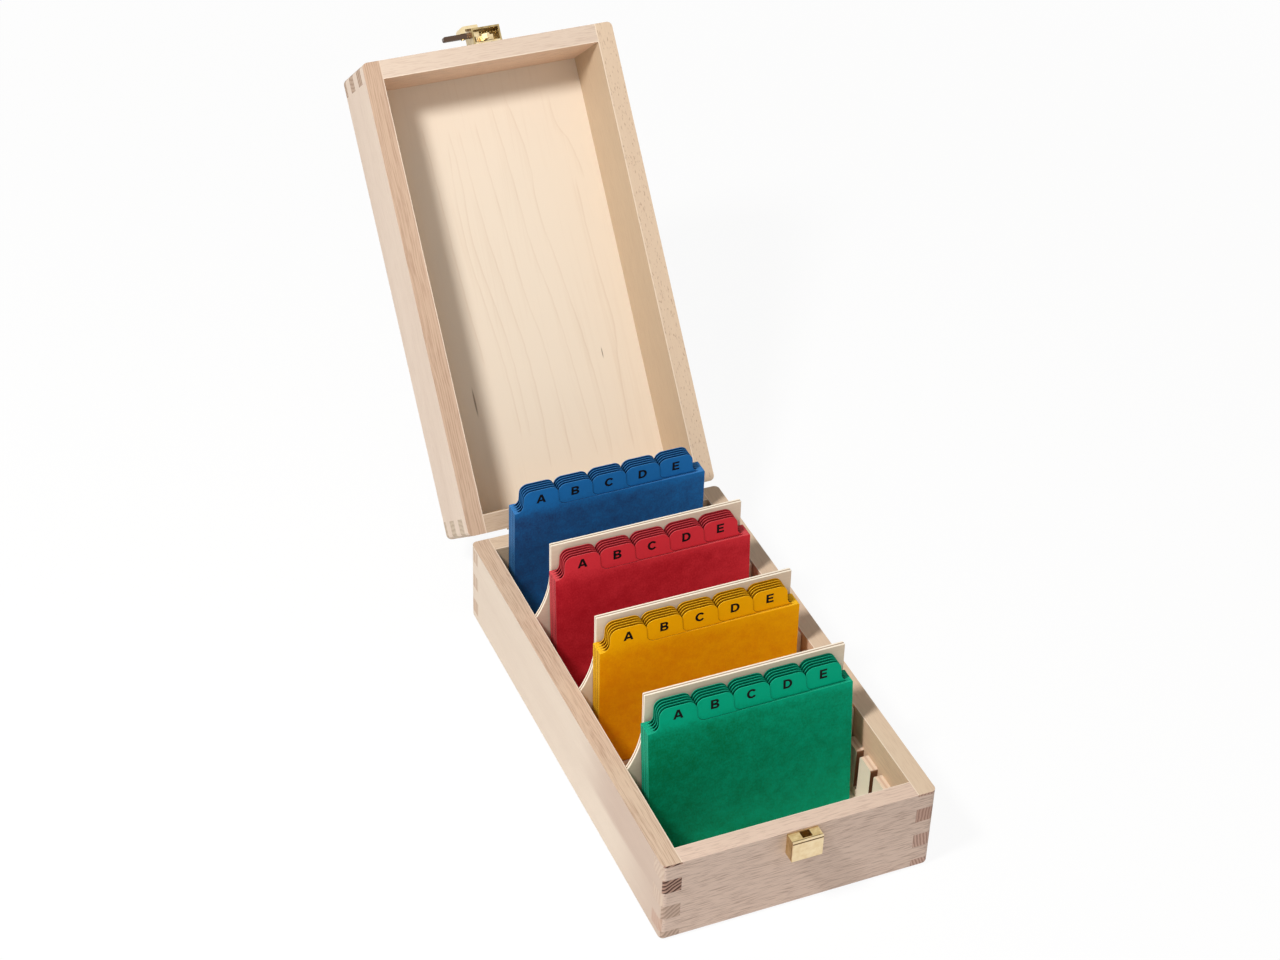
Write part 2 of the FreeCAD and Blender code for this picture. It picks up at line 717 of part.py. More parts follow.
# ---- build and export ------------------------------------------------------------------------------
def build():
    """Every node of the box as a list of solids."""
    nodes = {}
    hinge_places = {"left": -hinge_spacing / 2, "right": hinge_spacing / 2}

    base = four_boards(base_height, 0.0, finger_above_cut)
    lid = four_boards(lid_rim, lid_top, finger_pitch - finger_above_cut - closing_gap)
    base_screws = []
    lid_screws = []
    for side, x in hinge_places.items():
        pieces = hinge(x)
        nodes["hinge_" + side + "_base_leaf"] = [pieces["base_leaf"]]
        nodes["hinge_" + side + "_lid_leaf"] = [opened(pieces["lid_leaf"])]
        nodes["hinge_" + side + "_pin"] = [pieces["pin"]]
        base["back"] = base["back"].cut(leaf_screw_bores(x, -1))
        lid["back"] = lid["back"].cut(leaf_screw_bores(x, 1))
        base_screws += leaf_screws(x, -1)
        lid_screws += [opened(screw) for screw in leaf_screws(x, 1)]
    nodes["hinge_base_screws"] = base_screws
    nodes["hinge_lid_screws"] = lid_screws

    keeper_screws = []
    for x, z in keeper_screw_places():
        keeper_screws.append(pan_screw(x, -half_length - keeper_sheet, z, screw_length))
        base["front"] = base["front"].cut(screw_bore(x, -half_length, z, 1, screw_length - keeper_sheet))
    nodes["keeper_housing"], nodes["keeper_cover"] = [[piece] for piece in keeper()]
    nodes["keeper_screws"] = keeper_screws

    latch_screws = []
    for x, z in latch_screw_places():
        screw = pan_screw(x, -half_length - latch_plate_thickness, z, screw_length)
        latch_screws.append(opened(screw))
        bore = screw_bore(x, -half_length, z, 1, screw_length - latch_plate_thickness)
        lid["front"] = lid["front"].cut(bore)
    nodes["latch_screws"] = latch_screws
    nodes["latch_case"] = [opened(latch_case())]
    nodes["latch_back_plate"] = [opened(latch_back_plate())]
    nodes["latch_slide"] = [opened(latch_slide())]
    nodes["latch_thumb_piece"] = [opened(thumb_piece())]
    nodes["latch_rivet"] = [opened(thumb_rivet())]
    nodes["latch_spring"] = [opened(coil_spring())]

    for side, board in base.items():
        nodes["base_" + side] = [board]
    for side, board in lid.items():
        nodes["lid_" + side] = [opened(board)]
    nodes["base_bottom"] = [panel_solid(base_height, 0.0)]
    nodes["lid_panel"] = [opened(panel_solid(lid_rim, lid_top))]
    nodes["slot_strip_left"] = [slot_strip(-1)]
    nodes["slot_strip_right"] = [slot_strip(1)]

    for number, index in enumerate(divider_slots, start=1):
        nodes["divider_" + str(number)] = [divider(index)]
    supports = divider_slots + (None,)
    for colour, index, lean_deg, shift in zip(card_colours, supports, card_leans_deg, card_shifts):
        for letter, cards in card_set(index, lean_deg, shift).items():
            nodes[colour + "_guides_" + letter] = cards
    return nodes


os.makedirs("parts", exist_ok=True)
for node, solids in build().items():
    export(node, solids)
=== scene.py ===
"""Visual model of a wooden index card box that stands open.

The solids of the box are dressed where they are. Sawn and cut edges get a fine chamfer, every piece
gets a finish built from nodes, the cards get their printed letters, the latch's spring gets a copy
that rides with the lid, and a plain studio stands round them. Lengths are in metres unless a name ends in
_mm, angles are in radians unless a name ends in _deg, and the finishes work in millimetres.
"""

import json
import logging
import math
from collections.abc import Callable
from dataclasses import dataclass, field, replace
from enum import Enum

import bpy
import bmesh
from mathutils import Euler, Matrix, Vector


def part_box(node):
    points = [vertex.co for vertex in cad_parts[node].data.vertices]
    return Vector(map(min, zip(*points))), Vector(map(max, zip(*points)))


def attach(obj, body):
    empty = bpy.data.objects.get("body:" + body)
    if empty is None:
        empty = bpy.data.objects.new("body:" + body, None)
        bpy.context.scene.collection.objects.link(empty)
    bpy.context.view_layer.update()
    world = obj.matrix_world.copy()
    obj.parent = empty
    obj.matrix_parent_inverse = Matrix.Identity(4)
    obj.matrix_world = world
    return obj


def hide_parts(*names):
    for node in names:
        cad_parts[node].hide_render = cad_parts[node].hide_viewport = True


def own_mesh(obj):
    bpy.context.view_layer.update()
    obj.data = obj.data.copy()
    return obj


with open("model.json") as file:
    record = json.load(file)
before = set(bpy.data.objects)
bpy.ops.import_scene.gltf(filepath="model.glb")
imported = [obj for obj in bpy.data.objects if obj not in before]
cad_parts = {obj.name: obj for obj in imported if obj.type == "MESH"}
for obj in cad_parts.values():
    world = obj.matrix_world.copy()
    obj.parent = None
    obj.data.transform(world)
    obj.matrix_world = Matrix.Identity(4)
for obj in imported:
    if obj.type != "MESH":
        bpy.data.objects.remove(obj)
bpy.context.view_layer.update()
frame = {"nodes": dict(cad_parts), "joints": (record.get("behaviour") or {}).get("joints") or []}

MM = 0.001
IN_MM = (1000.0, 1000.0, 1000.0)
LETTERS = ("a", "b", "c", "d", "e")

log = logging.getLogger("card_box")

Socket = bpy.types.NodeSocket
Value = float | Socket
Triple = tuple[float, float, float]
Colour = tuple[float, float, float, float]
Gain = tuple[float, float]  # what a number is multiplied by, and what is added to it then
Outline = list[tuple[float, float]]
Rule = Callable[[Vector], bool]

WHITE: Colour = (1.0, 1.0, 1.0, 1.0)


def paint(red: int, green: int, blue: int) -> Colour:
    """Turn an 8-bit screen colour into linear light, along the usual screen curve.

    Args:
        red: Red, 0 to 255.
        green: Green, 0 to 255.
        blue: Blue, 0 to 255.

    Returns:
        The colour as linear red, green, blue and an alpha of one.
    """
    parts = []
    for channel in (red, green, blue):
        share = channel / 255
        parts.append(share / 12.92 if share <= 0.04045 else ((share + 0.055) / 1.055) ** 2.4)
    return (parts[0], parts[1], parts[2], 1.0)


class Run(Enum):
    """Which way a board's fibres run in the closed box."""

    ACROSS = "x"
    LENGTHWISE = "y"


class CardColour(Enum):
    """The colours of the guide cards, from the front of the box to the back."""

    GREEN = "green"
    YELLOW = "yellow"
    RED = "red"
    BLUE = "blue"


@dataclass(frozen=True)
class Grain:
    """Drawn-out noise: how fine it is on each axis, where it starts, and its finer layers."""

    fineness: Triple
    start: float = 0.0
    layers: float = 2.0
    layer_weight: float = 0.5


@dataclass(frozen=True)
class Ramp:
    """Smooth step: where it begins and ends, and what it gives below and above."""

    begin: float
    end: float
    below: float = 0.0
    above: float = 1.0

    def raised(self, height: float) -> "Ramp":
        """The same step, begun and ended higher."""
        return replace(self, begin=self.begin + height, end=self.end + height)


@dataclass(frozen=True)
class Marks:
    """Noise of which only the high parts are kept, as separate marks."""

    grain: Grain
    cut: Ramp


@dataclass(frozen=True)
class Skin:
    """How a matt surface takes the light: its roughness over its relief, and its gleam."""

    roughness: Ramp
    relief_mm: float
    relief_share: float
    gleam: float = 0.25
    refraction: float = 1.45


# ---- node building -------------------------------------------------------------------------------
class Graph:
    """Node tree of one material or world, with short calls for the nodes that the finishes use."""

    def __init__(self, owner: bpy.types.Material | bpy.types.World) -> None:
        """Start with an empty tree.

        Args:
            owner: The material or world.
        """
        self.owner = owner
        owner.use_nodes = True
        self.tree = owner.node_tree
        self.tree.nodes.clear()

    def add(self, kind: str, *values: object, **settings: object) -> bpy.types.Node:
        """Add a node, feed its first inputs and set its properties.

        Args:
            kind: Blender's name of the node type.
            *values: What its first inputs get, in their order.
            **settings: Properties of the node.

        Returns:
            The new node.
        """
        node = self.tree.nodes.new(kind)
        for key, value in settings.items():
            setattr(node, key, value)
        for socket, value in zip(node.inputs, values):
            self.feed(socket, value)
        return node

    def feed(self, socket: Socket, value: object) -> None:
        """Link a socket, or set it to a plain value.

        Args:
            socket: The input socket.
            value: An output socket to link, or a number, vector or colour.
        """
        if isinstance(value, bpy.types.NodeSocket):
            self.tree.links.new(value, socket)
        else:
            socket.default_value = value

    def math(self, operation: str, first: Value, second: Value = 0.0, third: Value = 0.0) -> Socket:
        """Result of a Math node with the named operation."""
        return self.add("ShaderNodeMath", first, second, third, operation=operation).outputs[0]

    def plus(self, first: Value, second: Value) -> Socket:
        """Sum of two numbers."""
        return self.math("ADD", first, second)

    def minus(self, first: Value, second: Value) -> Socket:
        """First number less the second."""
        return self.math("SUBTRACT", first, second)

    def times(self, first: Value, second: Value) -> Socket:
        """Product of two numbers."""
        return self.math("MULTIPLY", first, second)

    def larger(self, first: Value, second: Value) -> Socket:
        """Larger of two numbers."""
        return self.math("MAXIMUM", first, second)

    def scaled(self, value: Value, gain: Value, base: Value) -> Socket:
        """A number times a gain, with a base added."""
        return self.math("MULTIPLY_ADD", value, gain, base)

    def size(self, value: Value) -> Socket:
        """A number without its sign."""
        return self.math("ABSOLUTE", value)

    def reach(self, side: Socket, rise: Socket) -> Socket:
        """Distance of a point from the origin, from its two coordinates."""
        return self.math("SQRT", self.plus(self.times(side, side), self.times(rise, rise)))

    def step(self, value: Value, ramp: Ramp) -> Socket:
        """Smooth step of a value."""
        return self.add("ShaderNodeMapRange", value, ramp.begin, ramp.end, ramp.below, ramp.above,
                        interpolation_type="SMOOTHSTEP").outputs[0]

    def vector(self, along: Value, across: Value, through: Value) -> Socket:
        """Join three numbers into a vector."""
        return self.add("ShaderNodeCombineXYZ", along, across, through).outputs[0]

    def parts(self, vector: Socket) -> tuple[Socket, Socket, Socket]:
        """Split a vector into its three parts."""
        node = self.add("ShaderNodeSeparateXYZ", vector)
        return node.outputs[0], node.outputs[1], node.outputs[2]

    def stretch(self, vector: Socket, scales: Triple, shift: Triple | Socket = (0.0, 0.0, 0.0)) -> Socket:
        """Scale a vector by axis, then move it."""
        return self.add("ShaderNodeVectorMath", vector, scales, shift, operation="MULTIPLY_ADD").outputs[0]

    def noise(self, vector: Socket, grain: Grain, seed: float) -> Socket:
        """Smooth noise.

        Args:
            vector: Where to read the noise.
            grain: Its kind.
            seed: Moves the start, so that pieces differ.

        Returns:
            A number from zero to one.
        """
        start = seed + grain.start
        node = self.add("ShaderNodeTexNoise")
        self.feed(node.inputs["Vector"], self.stretch(vector, grain.fineness, (start, start, start)))
        node.inputs["Scale"].default_value = 1.0
        node.inputs["Detail"].default_value = grain.layers
        node.inputs["Roughness"].default_value = grain.layer_weight
        return node.outputs[0]

    def marks(self, vector: Socket, marks: Marks, seed: float) -> Socket:
        """Share of separate marks, mostly zero or one."""
        return self.step(self.noise(vector, marks.grain, seed), marks.cut)

    def mix(self, share: Value, first: object, second: object) -> Socket:
        """Mix two colours.

        Args:
            share: Share of the second colour.
            first: First colour or socket.
            second: Second colour or socket.

        Returns:
            The mixed colour.
        """
        node = self.add("ShaderNodeMix", data_type="RGBA")
        for key, value in (("Factor", share), (6, first), (7, second)):
            self.feed(node.inputs[key], value)
        return node.outputs[2]

    def curve(self, value: Socket, points: tuple[tuple[float, float], ...], reach_in: float,
              reach_out: float) -> Socket:
        """Smooth curve through given points.

        Args:
            value: Value to look up.
            points: Pairs of value and result, in rising order of the value.
            reach_in: Largest value, either side of zero.
            reach_out: Largest result, either side of zero.

        Returns:
            The result.
        """
        node = self.add("ShaderNodeFloatCurve")
        line = node.mapping.curves[0]
        while len(line.points) < len(points):
            line.points.new(0.5, 0.5)
        for mark, (at, result) in zip(line.points, points):
            mark.location = (0.5 + at / reach_in / 2, 0.5 + result / reach_out / 2)
        node.mapping.update()
        self.feed(node.inputs["Value"], self.scaled(value, 0.5 / reach_in, 0.5))
        return self.scaled(node.outputs[0], 2 * reach_out, -reach_out)

    def bump(self, height: Socket, depth_mm: float, strength: float) -> Socket:
        """Bend the normal by a height.

        Args:
            height: Height from zero to one.
            depth_mm: Height of one, in millimetres.
            strength: Share of the effect.

        Returns:
            The bent normal.
        """
        node = self.add("ShaderNodeBump")
        node.inputs["Strength"].default_value = strength
        node.inputs["Distance"].default_value = depth_mm * MM
        self.feed(node.inputs["Height"], height)
        return node.outputs[0]

    def close(self, result: Socket, kind: str = "ShaderNodeOutputMaterial") -> None:
        """End the tree in an output node of the given kind."""
        self.add(kind, result)

    def surface(self, **inputs: object) -> None:
        """End the tree in one surface shader.

        Args:
            **inputs: Values or sockets by the shader's input name, with spaces as underscores.
        """
        shader = self.add("ShaderNodeBsdfPrincipled")
        for key, value in inputs.items():
            self.feed(shader.inputs[key.replace("_", " ")], value)
        self.close(shader.outputs[0])

    def matt(self, colour: Socket, relief: Socket, skin: Skin) -> None:
        """End the tree in a matt surface with a fine relief.

        Args:
            colour: Its colour.
            relief: Height of the relief, from zero to one.
            skin: How it takes the light.
        """
        self.surface(Base_Color=colour, Roughness=self.step(relief, skin.roughness),
                     Normal=self.bump(relief, skin.relief_mm, skin.relief_share),
                     IOR=skin.refraction, Specular_IOR_Level=skin.gleam)


def joint(name: str) -> dict[str, object]:
    """The frame's record of a joint."""
    return next(record for record in frame["joints"] if record["name"] == name)


def hinge_point() -> Vector:
    """A point on the axis of the lid's hinges."""
    return Vector(joint("lid_hinge")["pos_m"])


def opening_angle() -> float:
    """How far the lid stands open."""
    return math.radians(-joint("lid_hinge")["range_deg"][0])


class BoardSpace:
    """Coordinates inside a board: along the fibres, up the board and through it, in millimetres."""

    def __init__(self, graph: Graph, run: Run, in_lid: bool = False) -> None:
        """Read the place and the normal in the closed box.

        Args:
            graph: The material's tree.
            run: Which way the fibres run.
            in_lid: Whether the board is part of the opened lid.
        """
        self.graph = graph
        coordinates = graph.add("ShaderNodeTexCoord")
        place = coordinates.outputs["Object"]
        normal = coordinates.outputs["Normal"]
        if in_lid:
            place = self.closed(place, hinge_point())
            normal = self.closed(normal, Vector((0, 0, 0)))
        x, y, z = graph.parts(graph.stretch(place, IN_MM))
        normal_x, normal_y, self.up_normal = graph.parts(normal)
        if run is Run.ACROSS:
            self.along, self.across, self.through = x, z, y
            self.end_normal = normal_x
        else:
            self.along, self.across, self.through = y, z, x
            self.end_normal = normal_y

    def closed(self, vector: Socket, centre: Vector) -> Socket:
        """Turn a vector of the opened lid back into the closed box.

        Args:
            vector: Place or normal.
            centre: Point that stays in place.

        Returns:
            The vector in the closed box.
        """
        node = self.graph.add("ShaderNodeVectorRotate", rotation_type="X_AXIS")
        self.graph.feed(node.inputs["Vector"], vector)
        node.inputs["Center"].default_value = centre
        node.inputs["Angle"].default_value = opening_angle()
        return node.outputs[0]

    def depth(self, middle_mm: float, foot_mm: float, lean: float) -> Socket:
        """Distance through a board that leans back, from the middle of its thickness.

        Args:
            middle_mm: Middle of the thickness at the foot.
            foot_mm: Height of the foot.
            lean: How far the board leans back.

        Returns:
            The distance in millimetres.
        """
        rise = self.graph.minus(self.across, foot_mm)
        level = self.graph.times(self.graph.minus(self.through, middle_mm), math.cos(lean))
        return self.graph.scaled(rise, -math.sin(lean), level)


# ---- finishes ------------------------------------------------------------------------------------
class Finish:
    """Recipe of a material."""

    def build(self, name: str) -> bpy.types.Material:
        """Build the material.

        Args:
            name: Name of the new material.

        Returns:
            The material.
        """
        graph = Graph(bpy.data.materials.new(name))
        self.lay(graph)
        return graph.owner

    def lay(self, graph: Graph) -> None:
        """Add the recipe's nodes to an empty tree.

        Args:
            graph: The material's tree.
        """
        raise NotImplementedError


@dataclass(frozen=True)
class EndGrain:
    """Look of a beech board's end grain, which shows as squares on the neighbouring faces."""

    heart_mm: tuple[float, float]
    ring_mm: float
    low: Colour
    high: Colour
    ring: Colour
    split_mm: float = 24.0
    contrast: float = 0.6
    low_contrast: float = 0.6
    split_blur: Ramp = Ramp(-1.0, 1.0)
    wave: Grain = Grain((0.02, 0.2, 0.2), 51.0)
    wave_mm: float = 1.6
    pores: Grain = Grain((0.1, 2.6, 2.6), 61.0)
    pore_weight: float = 0.2
    darkens: Ramp = Ramp(0.15, 0.7)
    clears: Ramp = Ramp(0.75, 1.0, 1.0, 0.0)

    def colour(self, graph: Graph, space: BoardSpace, place: Socket, seed: float) -> Socket:
        """Colour of the end grain, with rings round the heart of the tree.

        Args:
            graph: The material's tree.
            space: Coordinates in the board.
            place: Place in the board, in millimetres.
            seed: The board's seed.

        Returns:
            The colour.
        """
        from_heart = graph.reach(graph.minus(space.across, self.heart_mm[0]),
                                 graph.minus(space.through, self.heart_mm[1]))
        bent = graph.scaled(graph.noise(place, self.wave, seed), self.wave_mm, from_heart)
        ring = graph.math("FRACT", graph.math("DIVIDE", bent, self.ring_mm))
        late = graph.times(graph.step(ring, self.darkens), graph.step(ring, self.clears))
        pores = graph.noise(place, self.pores, seed)
        is_high = graph.step(space.across, self.split_blur.raised(self.split_mm))
        ground = graph.mix(is_high, self.low, self.high)
        strength = graph.step(is_high, Ramp(0.0, 1.0, self.low_contrast, self.contrast))
        share = graph.scaled(pores, self.pore_weight, graph.times(late, strength))
        return graph.mix(share, ground, self.ring)


@dataclass(frozen=True)
class Beech(Finish):
    """Clear-oiled solid beech with fibres, short dark lines, long streaks and ray specks, and a painted
    highlight along the inner edge of its rims.
    """

    run: Run
    ends: EndGrain
    in_lid: bool = False
    seed: float = 0.0
    face: Colour = paint(222, 202, 182)
    rim: Colour = paint(222, 198, 172)
    inside: Colour = paint(214, 188, 156)
    dark: Colour = paint(164, 130, 108)
    inner_half_mm: float = 59.55
    face_lines: float = 0.3
    rim_lines: float = 0.3
    rim_streaks: float = 0.0
    rim_specks: float = 0.0
    bands: float = 0.12
    heart: Colour | None = None
    heart_height: Ramp = Ramp(21.0, 27.0)
    heart_place: Ramp = Ramp(-70.0, -20.0, 1.0, 0.0)
    heart_front: Ramp = Ramp(-122.0, -60.0, 0.95, 0.0)
    facing_up: Ramp = Ramp(0.6, 0.85)
    facing_end: Ramp = Ramp(0.55, 0.65)
    off_inside: Ramp = Ramp(0.1, 0.5, 1.0, 0.0)
    # Painted highlight: the colour laid along the inner edge of the rims.
    sanded: Colour = paint(255, 240, 222)
    rim_edge_highlight_band: Ramp = Ramp(0.25, 0.7, 0.5, 0.0)
    sway: Grain = Grain((0.03, 0.08, 0.08), 23.0, 1.0)
    sway_mm: float = 2.5
    fibres: Grain = Grain((0.06, 2.2, 2.2), 3.0, 2.0, 0.6)
    fibre_gain: Gain = (0.14, -0.05)
    dashes: Marks = Marks(Grain((0.11, 2.7, 2.7), 11.0, 1.0), Ramp(0.50, 0.66))
    streaks: Marks = Marks(Grain((0.016, 1.7, 1.7), 17.0, 1.0), Ramp(0.42, 0.62))
    breaks: Marks = Marks(Grain((0.20, 1.9, 1.9), 31.0, 1.0), Ramp(0.3, 0.6, 0.6, 1.0))
    specks: Marks = Marks(Grain((0.45, 1.9, 1.9), 41.0, 1.0), Ramp(0.62, 0.72))
    band_grain: Grain = Grain((0.008, 0.06, 0.06), 7.0, 3.0, 0.55)
    darkness: Ramp = Ramp(-0.25, 1.0, -0.1, 1.0)
    nap: Grain = Grain((0.05, 1.6, 1.6), 3.0, 3.0, 0.6)
    skin: Skin = Skin(Ramp(0.2, 0.8, 0.50, 0.64), 0.05, 0.5)

    def lay(self, graph: Graph) -> None:
        """Add the recipe's nodes to an empty tree.

        Args:
            graph: The material's tree.
        """
        space = BoardSpace(graph, self.run, self.in_lid)
        place = graph.vector(space.along, space.across, space.through)
        on_rim = graph.step(graph.size(space.up_normal), self.facing_up)
        off_wall = graph.minus(graph.size(space.through), self.inner_half_mm)
        on_inside = graph.times(graph.step(off_wall, self.off_inside), graph.minus(1.0, on_rim))
        face = self.face
        if self.heart is not None:
            inner = graph.times(graph.step(space.across, self.heart_height),
                                graph.step(space.along, self.heart_place))
            face = graph.mix(graph.larger(inner, graph.step(space.along, self.heart_front)), face, self.heart)
        wood = graph.mix(on_inside, graph.mix(on_rim, face, self.rim), self.inside)
        wood = graph.mix(self.figure(graph, place, on_rim), wood, self.dark)
        # Painted highlight: the rims turn lighter along their inner edge.
        wood = graph.mix(graph.times(on_rim, graph.step(off_wall, self.rim_edge_highlight_band)), wood, self.sanded)
        colour = graph.mix(graph.step(graph.size(space.end_normal), self.facing_end),
                           wood, self.ends.colour(graph, space, place, self.seed))
        graph.matt(colour, graph.noise(place, self.nap, self.seed), self.skin)

    def figure(self, graph: Graph, place: Socket, on_rim: Socket) -> Socket:
        """Darkness of the lines, streaks and specks.

        Args:
            graph: The material's tree.
            place: Place in the board, in millimetres.
            on_rim: One on the sawn rims, zero elsewhere.

        Returns:
            Share of the dark colour.
        """
        sway = graph.noise(place, self.sway, self.seed)
        bent = graph.stretch(graph.vector(0.0, sway, sway), (0.0, self.sway_mm, self.sway_mm), place)
        fibres = graph.noise(bent, self.fibres, self.seed)
        dashes, streaks, breaks = (graph.marks(bent, marks, self.seed)
                                   for marks in (self.dashes, self.streaks, self.breaks))
        specks = graph.marks(place, self.specks, self.seed)
        bands = graph.noise(place, self.band_grain, self.seed)
        lines = graph.plus(graph.times(graph.minus(1.0, on_rim), self.face_lines),
                           graph.times(on_rim, self.rim_lines))
        share = graph.times(dashes, lines)
        for marks, weight in ((graph.times(streaks, breaks), self.rim_streaks), (specks, self.rim_specks)):
            share = graph.plus(share, graph.times(graph.times(marks, on_rim), weight))
        share = graph.plus(share, graph.scaled(fibres, *self.fibre_gain))
        share = graph.plus(share, graph.scaled(bands, 2 * self.bands, -self.bands))
        return graph.step(share, self.darkness)


@dataclass(frozen=True)
class RingLine:
    """Darkness beside a ring line: sharp on one side, soft on the other, faded at both ends."""

    sharp: tuple[Ramp, Ramp] = (Ramp(0.1, 0.5), Ramp(0.7, 1.5, 1.0, 0.0))
    soft: tuple[Ramp, Ramp] = (Ramp(0.2, 1.0), Ramp(1.0, 6.0, 1.0, 0.0))
    sharp_weight: float = 0.14
    soft_weight: float = 0.07
    fade_in: Ramp = Ramp(-4.0, 6.0)
    fade_out: Ramp = Ramp(-6.0, 4.0, 1.0, 0.0)


@dataclass(frozen=True)
class Veneer(Finish):
    """Plywood panel: a pale veneer with faint ring lines, fine stripes, a resin mark or two, and painted
    bounce light that makes the inner face warmer towards its shadowed left side.
    """

    in_lid: bool = False
    seed: float = 0.0
    light: Colour = paint(233, 219, 201)
    # Painted bounce light: the warmer colour laid on the inner face towards its shadowed left side.
    line: Colour = paint(196, 166, 138)
    painted_bounce: Colour = paint(240, 214, 182)
    mark: Colour = paint(112, 84, 62)
    half_length_mm: float = 115.0
    half_width_mm: float = 60.0
    rings_mm: tuple[tuple[tuple[float, float], ...], ...] = ()
    ring: RingLine = RingLine()
    marks_mm: tuple[tuple[float, float, float, float], ...] = ()
    mark_edge: Ramp = Ramp(0.4, 1.0, 0.7, 0.0)
    drift: Grain = Grain((0.006, 0.03, 0.0), 0.0, 1.0)
    drift_mm: float = 14.0
    wander: Grain = Grain((0.09, 1.0, 1.0), 5.0)
    wander_mm: float = 1.2
    fibres: Grain = Grain((0.04, 1.2, 0.0), 2.0, 3.0, 0.6)
    fibre_gain: Gain = (0.20, -0.09)
    stripes: Grain = Grain((0.008, 0.42, 0.0), 6.0, 2.0, 0.6)
    tone: Grain = Grain((0.012, 0.03, 0.0), 9.0, 3.0)
    broad_gain: Gain = (0.30, -0.15)
    darkness: Ramp = Ramp(-0.2, 1.0, -0.1, 1.0)
    facing_in: Ramp = Ramp(-0.5, 0.5, 1.0, 0.0)
    painted_bounce_side: Ramp = Ramp(-58.0, -38.0, 0.75, 0.0)
    skin: Skin = Skin(Ramp(0.2, 0.8, 0.46, 0.58), 0.03, 0.4)

    def lay(self, graph: Graph) -> None:
        """Add the recipe's nodes to an empty tree.

        Args:
            graph: The material's tree.
        """
        space = BoardSpace(graph, Run.LENGTHWISE, self.in_lid)
        face = graph.vector(space.along, space.through, 0.0)
        drift = graph.noise(face, self.drift, self.seed)
        bent = graph.vector(space.along, graph.scaled(drift, self.drift_mm, space.through), 0.0)
        fibres = graph.noise(bent, self.fibres, self.seed)
        share = graph.scaled(fibres, *self.fibre_gain)
        for where, grain in ((bent, self.stripes), (face, self.tone)):
            share = graph.plus(share, graph.scaled(graph.noise(where, grain, self.seed), *self.broad_gain))
        share = graph.plus(share, self.rings(graph, space))
        colour = graph.mix(graph.step(share, self.darkness), self.light, self.line)
        within = graph.step(space.up_normal, self.facing_in)
        # Painted bounce light: the inner face turns warmer towards its shadowed left side.
        painted_bounce_share = graph.step(space.through, self.painted_bounce_side)
        colour = graph.mix(graph.times(painted_bounce_share, within), colour, self.painted_bounce)
        for along, through, length, width in self.marks_mm:
            away = graph.reach(graph.math("DIVIDE", graph.minus(space.along, along), length / 2),
                               graph.math("DIVIDE", graph.minus(space.through, through), width / 2))
            colour = graph.mix(graph.times(graph.step(away, self.mark_edge), within), colour, self.mark)
        graph.matt(colour, fibres, self.skin)

    def rings(self, graph: Graph, space: BoardSpace) -> Socket:
        """Darkness of the ring lines.

        Args:
            graph: The material's tree.
            space: Coordinates in the board.

        Returns:
            Share of the dark colour.
        """
        share = graph.times(space.along, 0.0)
        wander = graph.noise(graph.vector(space.along, 0.0, 0.0), self.wander, self.seed)
        for points in self.rings_mm:
            line = graph.curve(space.along, points, self.half_length_mm, self.half_width_mm)
            away = graph.minus(graph.scaled(wander, self.wander_mm, line), space.through)
            fade = graph.times(graph.step(space.along, self.ring.fade_in.raised(points[0][0])),
                               graph.step(space.along, self.ring.fade_out.raised(points[-1][0])))
            sharp, soft = (graph.times(graph.step(away, rise), graph.step(away, fall))
                           for rise, fall in (self.ring.sharp, self.ring.soft))
            dark = graph.scaled(sharp, self.ring.sharp_weight, graph.times(soft, self.ring.soft_weight))
            share = graph.scaled(dark, fade, share)
        return share


@dataclass(frozen=True)
class ThinPly(Finish):
    """Three-ply board that stands upright or leans back, with a darker middle ply along its edges, and where
    asked painted shade on the sides of the slots.
    """

    middle_mm: float
    thickness_mm: float
    run: Run = Run.ACROSS
    foot_mm: float = 0.0
    lean: float = 0.0
    seed: float = 0.0
    light: Colour = paint(240, 226, 206)
    dark: Colour = paint(222, 200, 174)
    edge: Colour = paint(252, 242, 224)
    core: Colour = paint(150, 116, 88)
    # Painted shade: colour for the sides of the slots, standing for the shadow inside them.
    slot: Colour | None = None
    fibres: Grain = Grain((0.05, 1.3, 0.0), 0.0, 3.0, 0.6)
    fibre_weight: float = 0.6
    tone: Grain = Grain((0.01, 0.05, 0.0), 4.0)
    tone_gain: Gain = (0.8, -0.3)
    core_half: tuple[float, float] = (0.10, 0.18)
    core_strength: float = 0.85
    facing_edge: Ramp = Ramp(0.35, 0.6)
    slot_shade_facing: Ramp = Ramp(0.6, 0.9)
    skin: Skin = Skin(Ramp(0.2, 0.8, 0.50, 0.64), 0.04, 0.4)

    def lay(self, graph: Graph) -> None:
        """Add the recipe's nodes to an empty tree.

        Args:
            graph: The material's tree.
        """
        space = BoardSpace(graph, self.run)
        place = graph.vector(space.along, space.across, 0.0)
        fibres = graph.noise(place, self.fibres, self.seed)
        tone = graph.scaled(graph.noise(place, self.tone, self.seed), *self.tone_gain)
        share = graph.scaled(fibres, self.fibre_weight, tone)
        face = graph.mix(graph.step(share, Ramp(0.0, 1.0)), self.light, self.dark)
        depth = space.depth(self.middle_mm, self.foot_mm, self.lean)
        begin, end = (self.thickness_mm * part for part in self.core_half)
        core = graph.step(graph.size(depth), Ramp(begin, end, self.core_strength, 0.0))
        on_end = graph.size(space.end_normal)
        on_edge = graph.larger(on_end, graph.size(space.up_normal))
        colour = graph.mix(graph.step(on_edge, self.facing_edge), face, graph.mix(core, self.edge, self.core))
        # Painted shade: the sides of the slots are darkened as if in shadow.
        if self.slot is not None:
            colour = graph.mix(graph.step(on_end, self.slot_shade_facing), colour, self.slot)
        graph.matt(colour, fibres, self.skin)


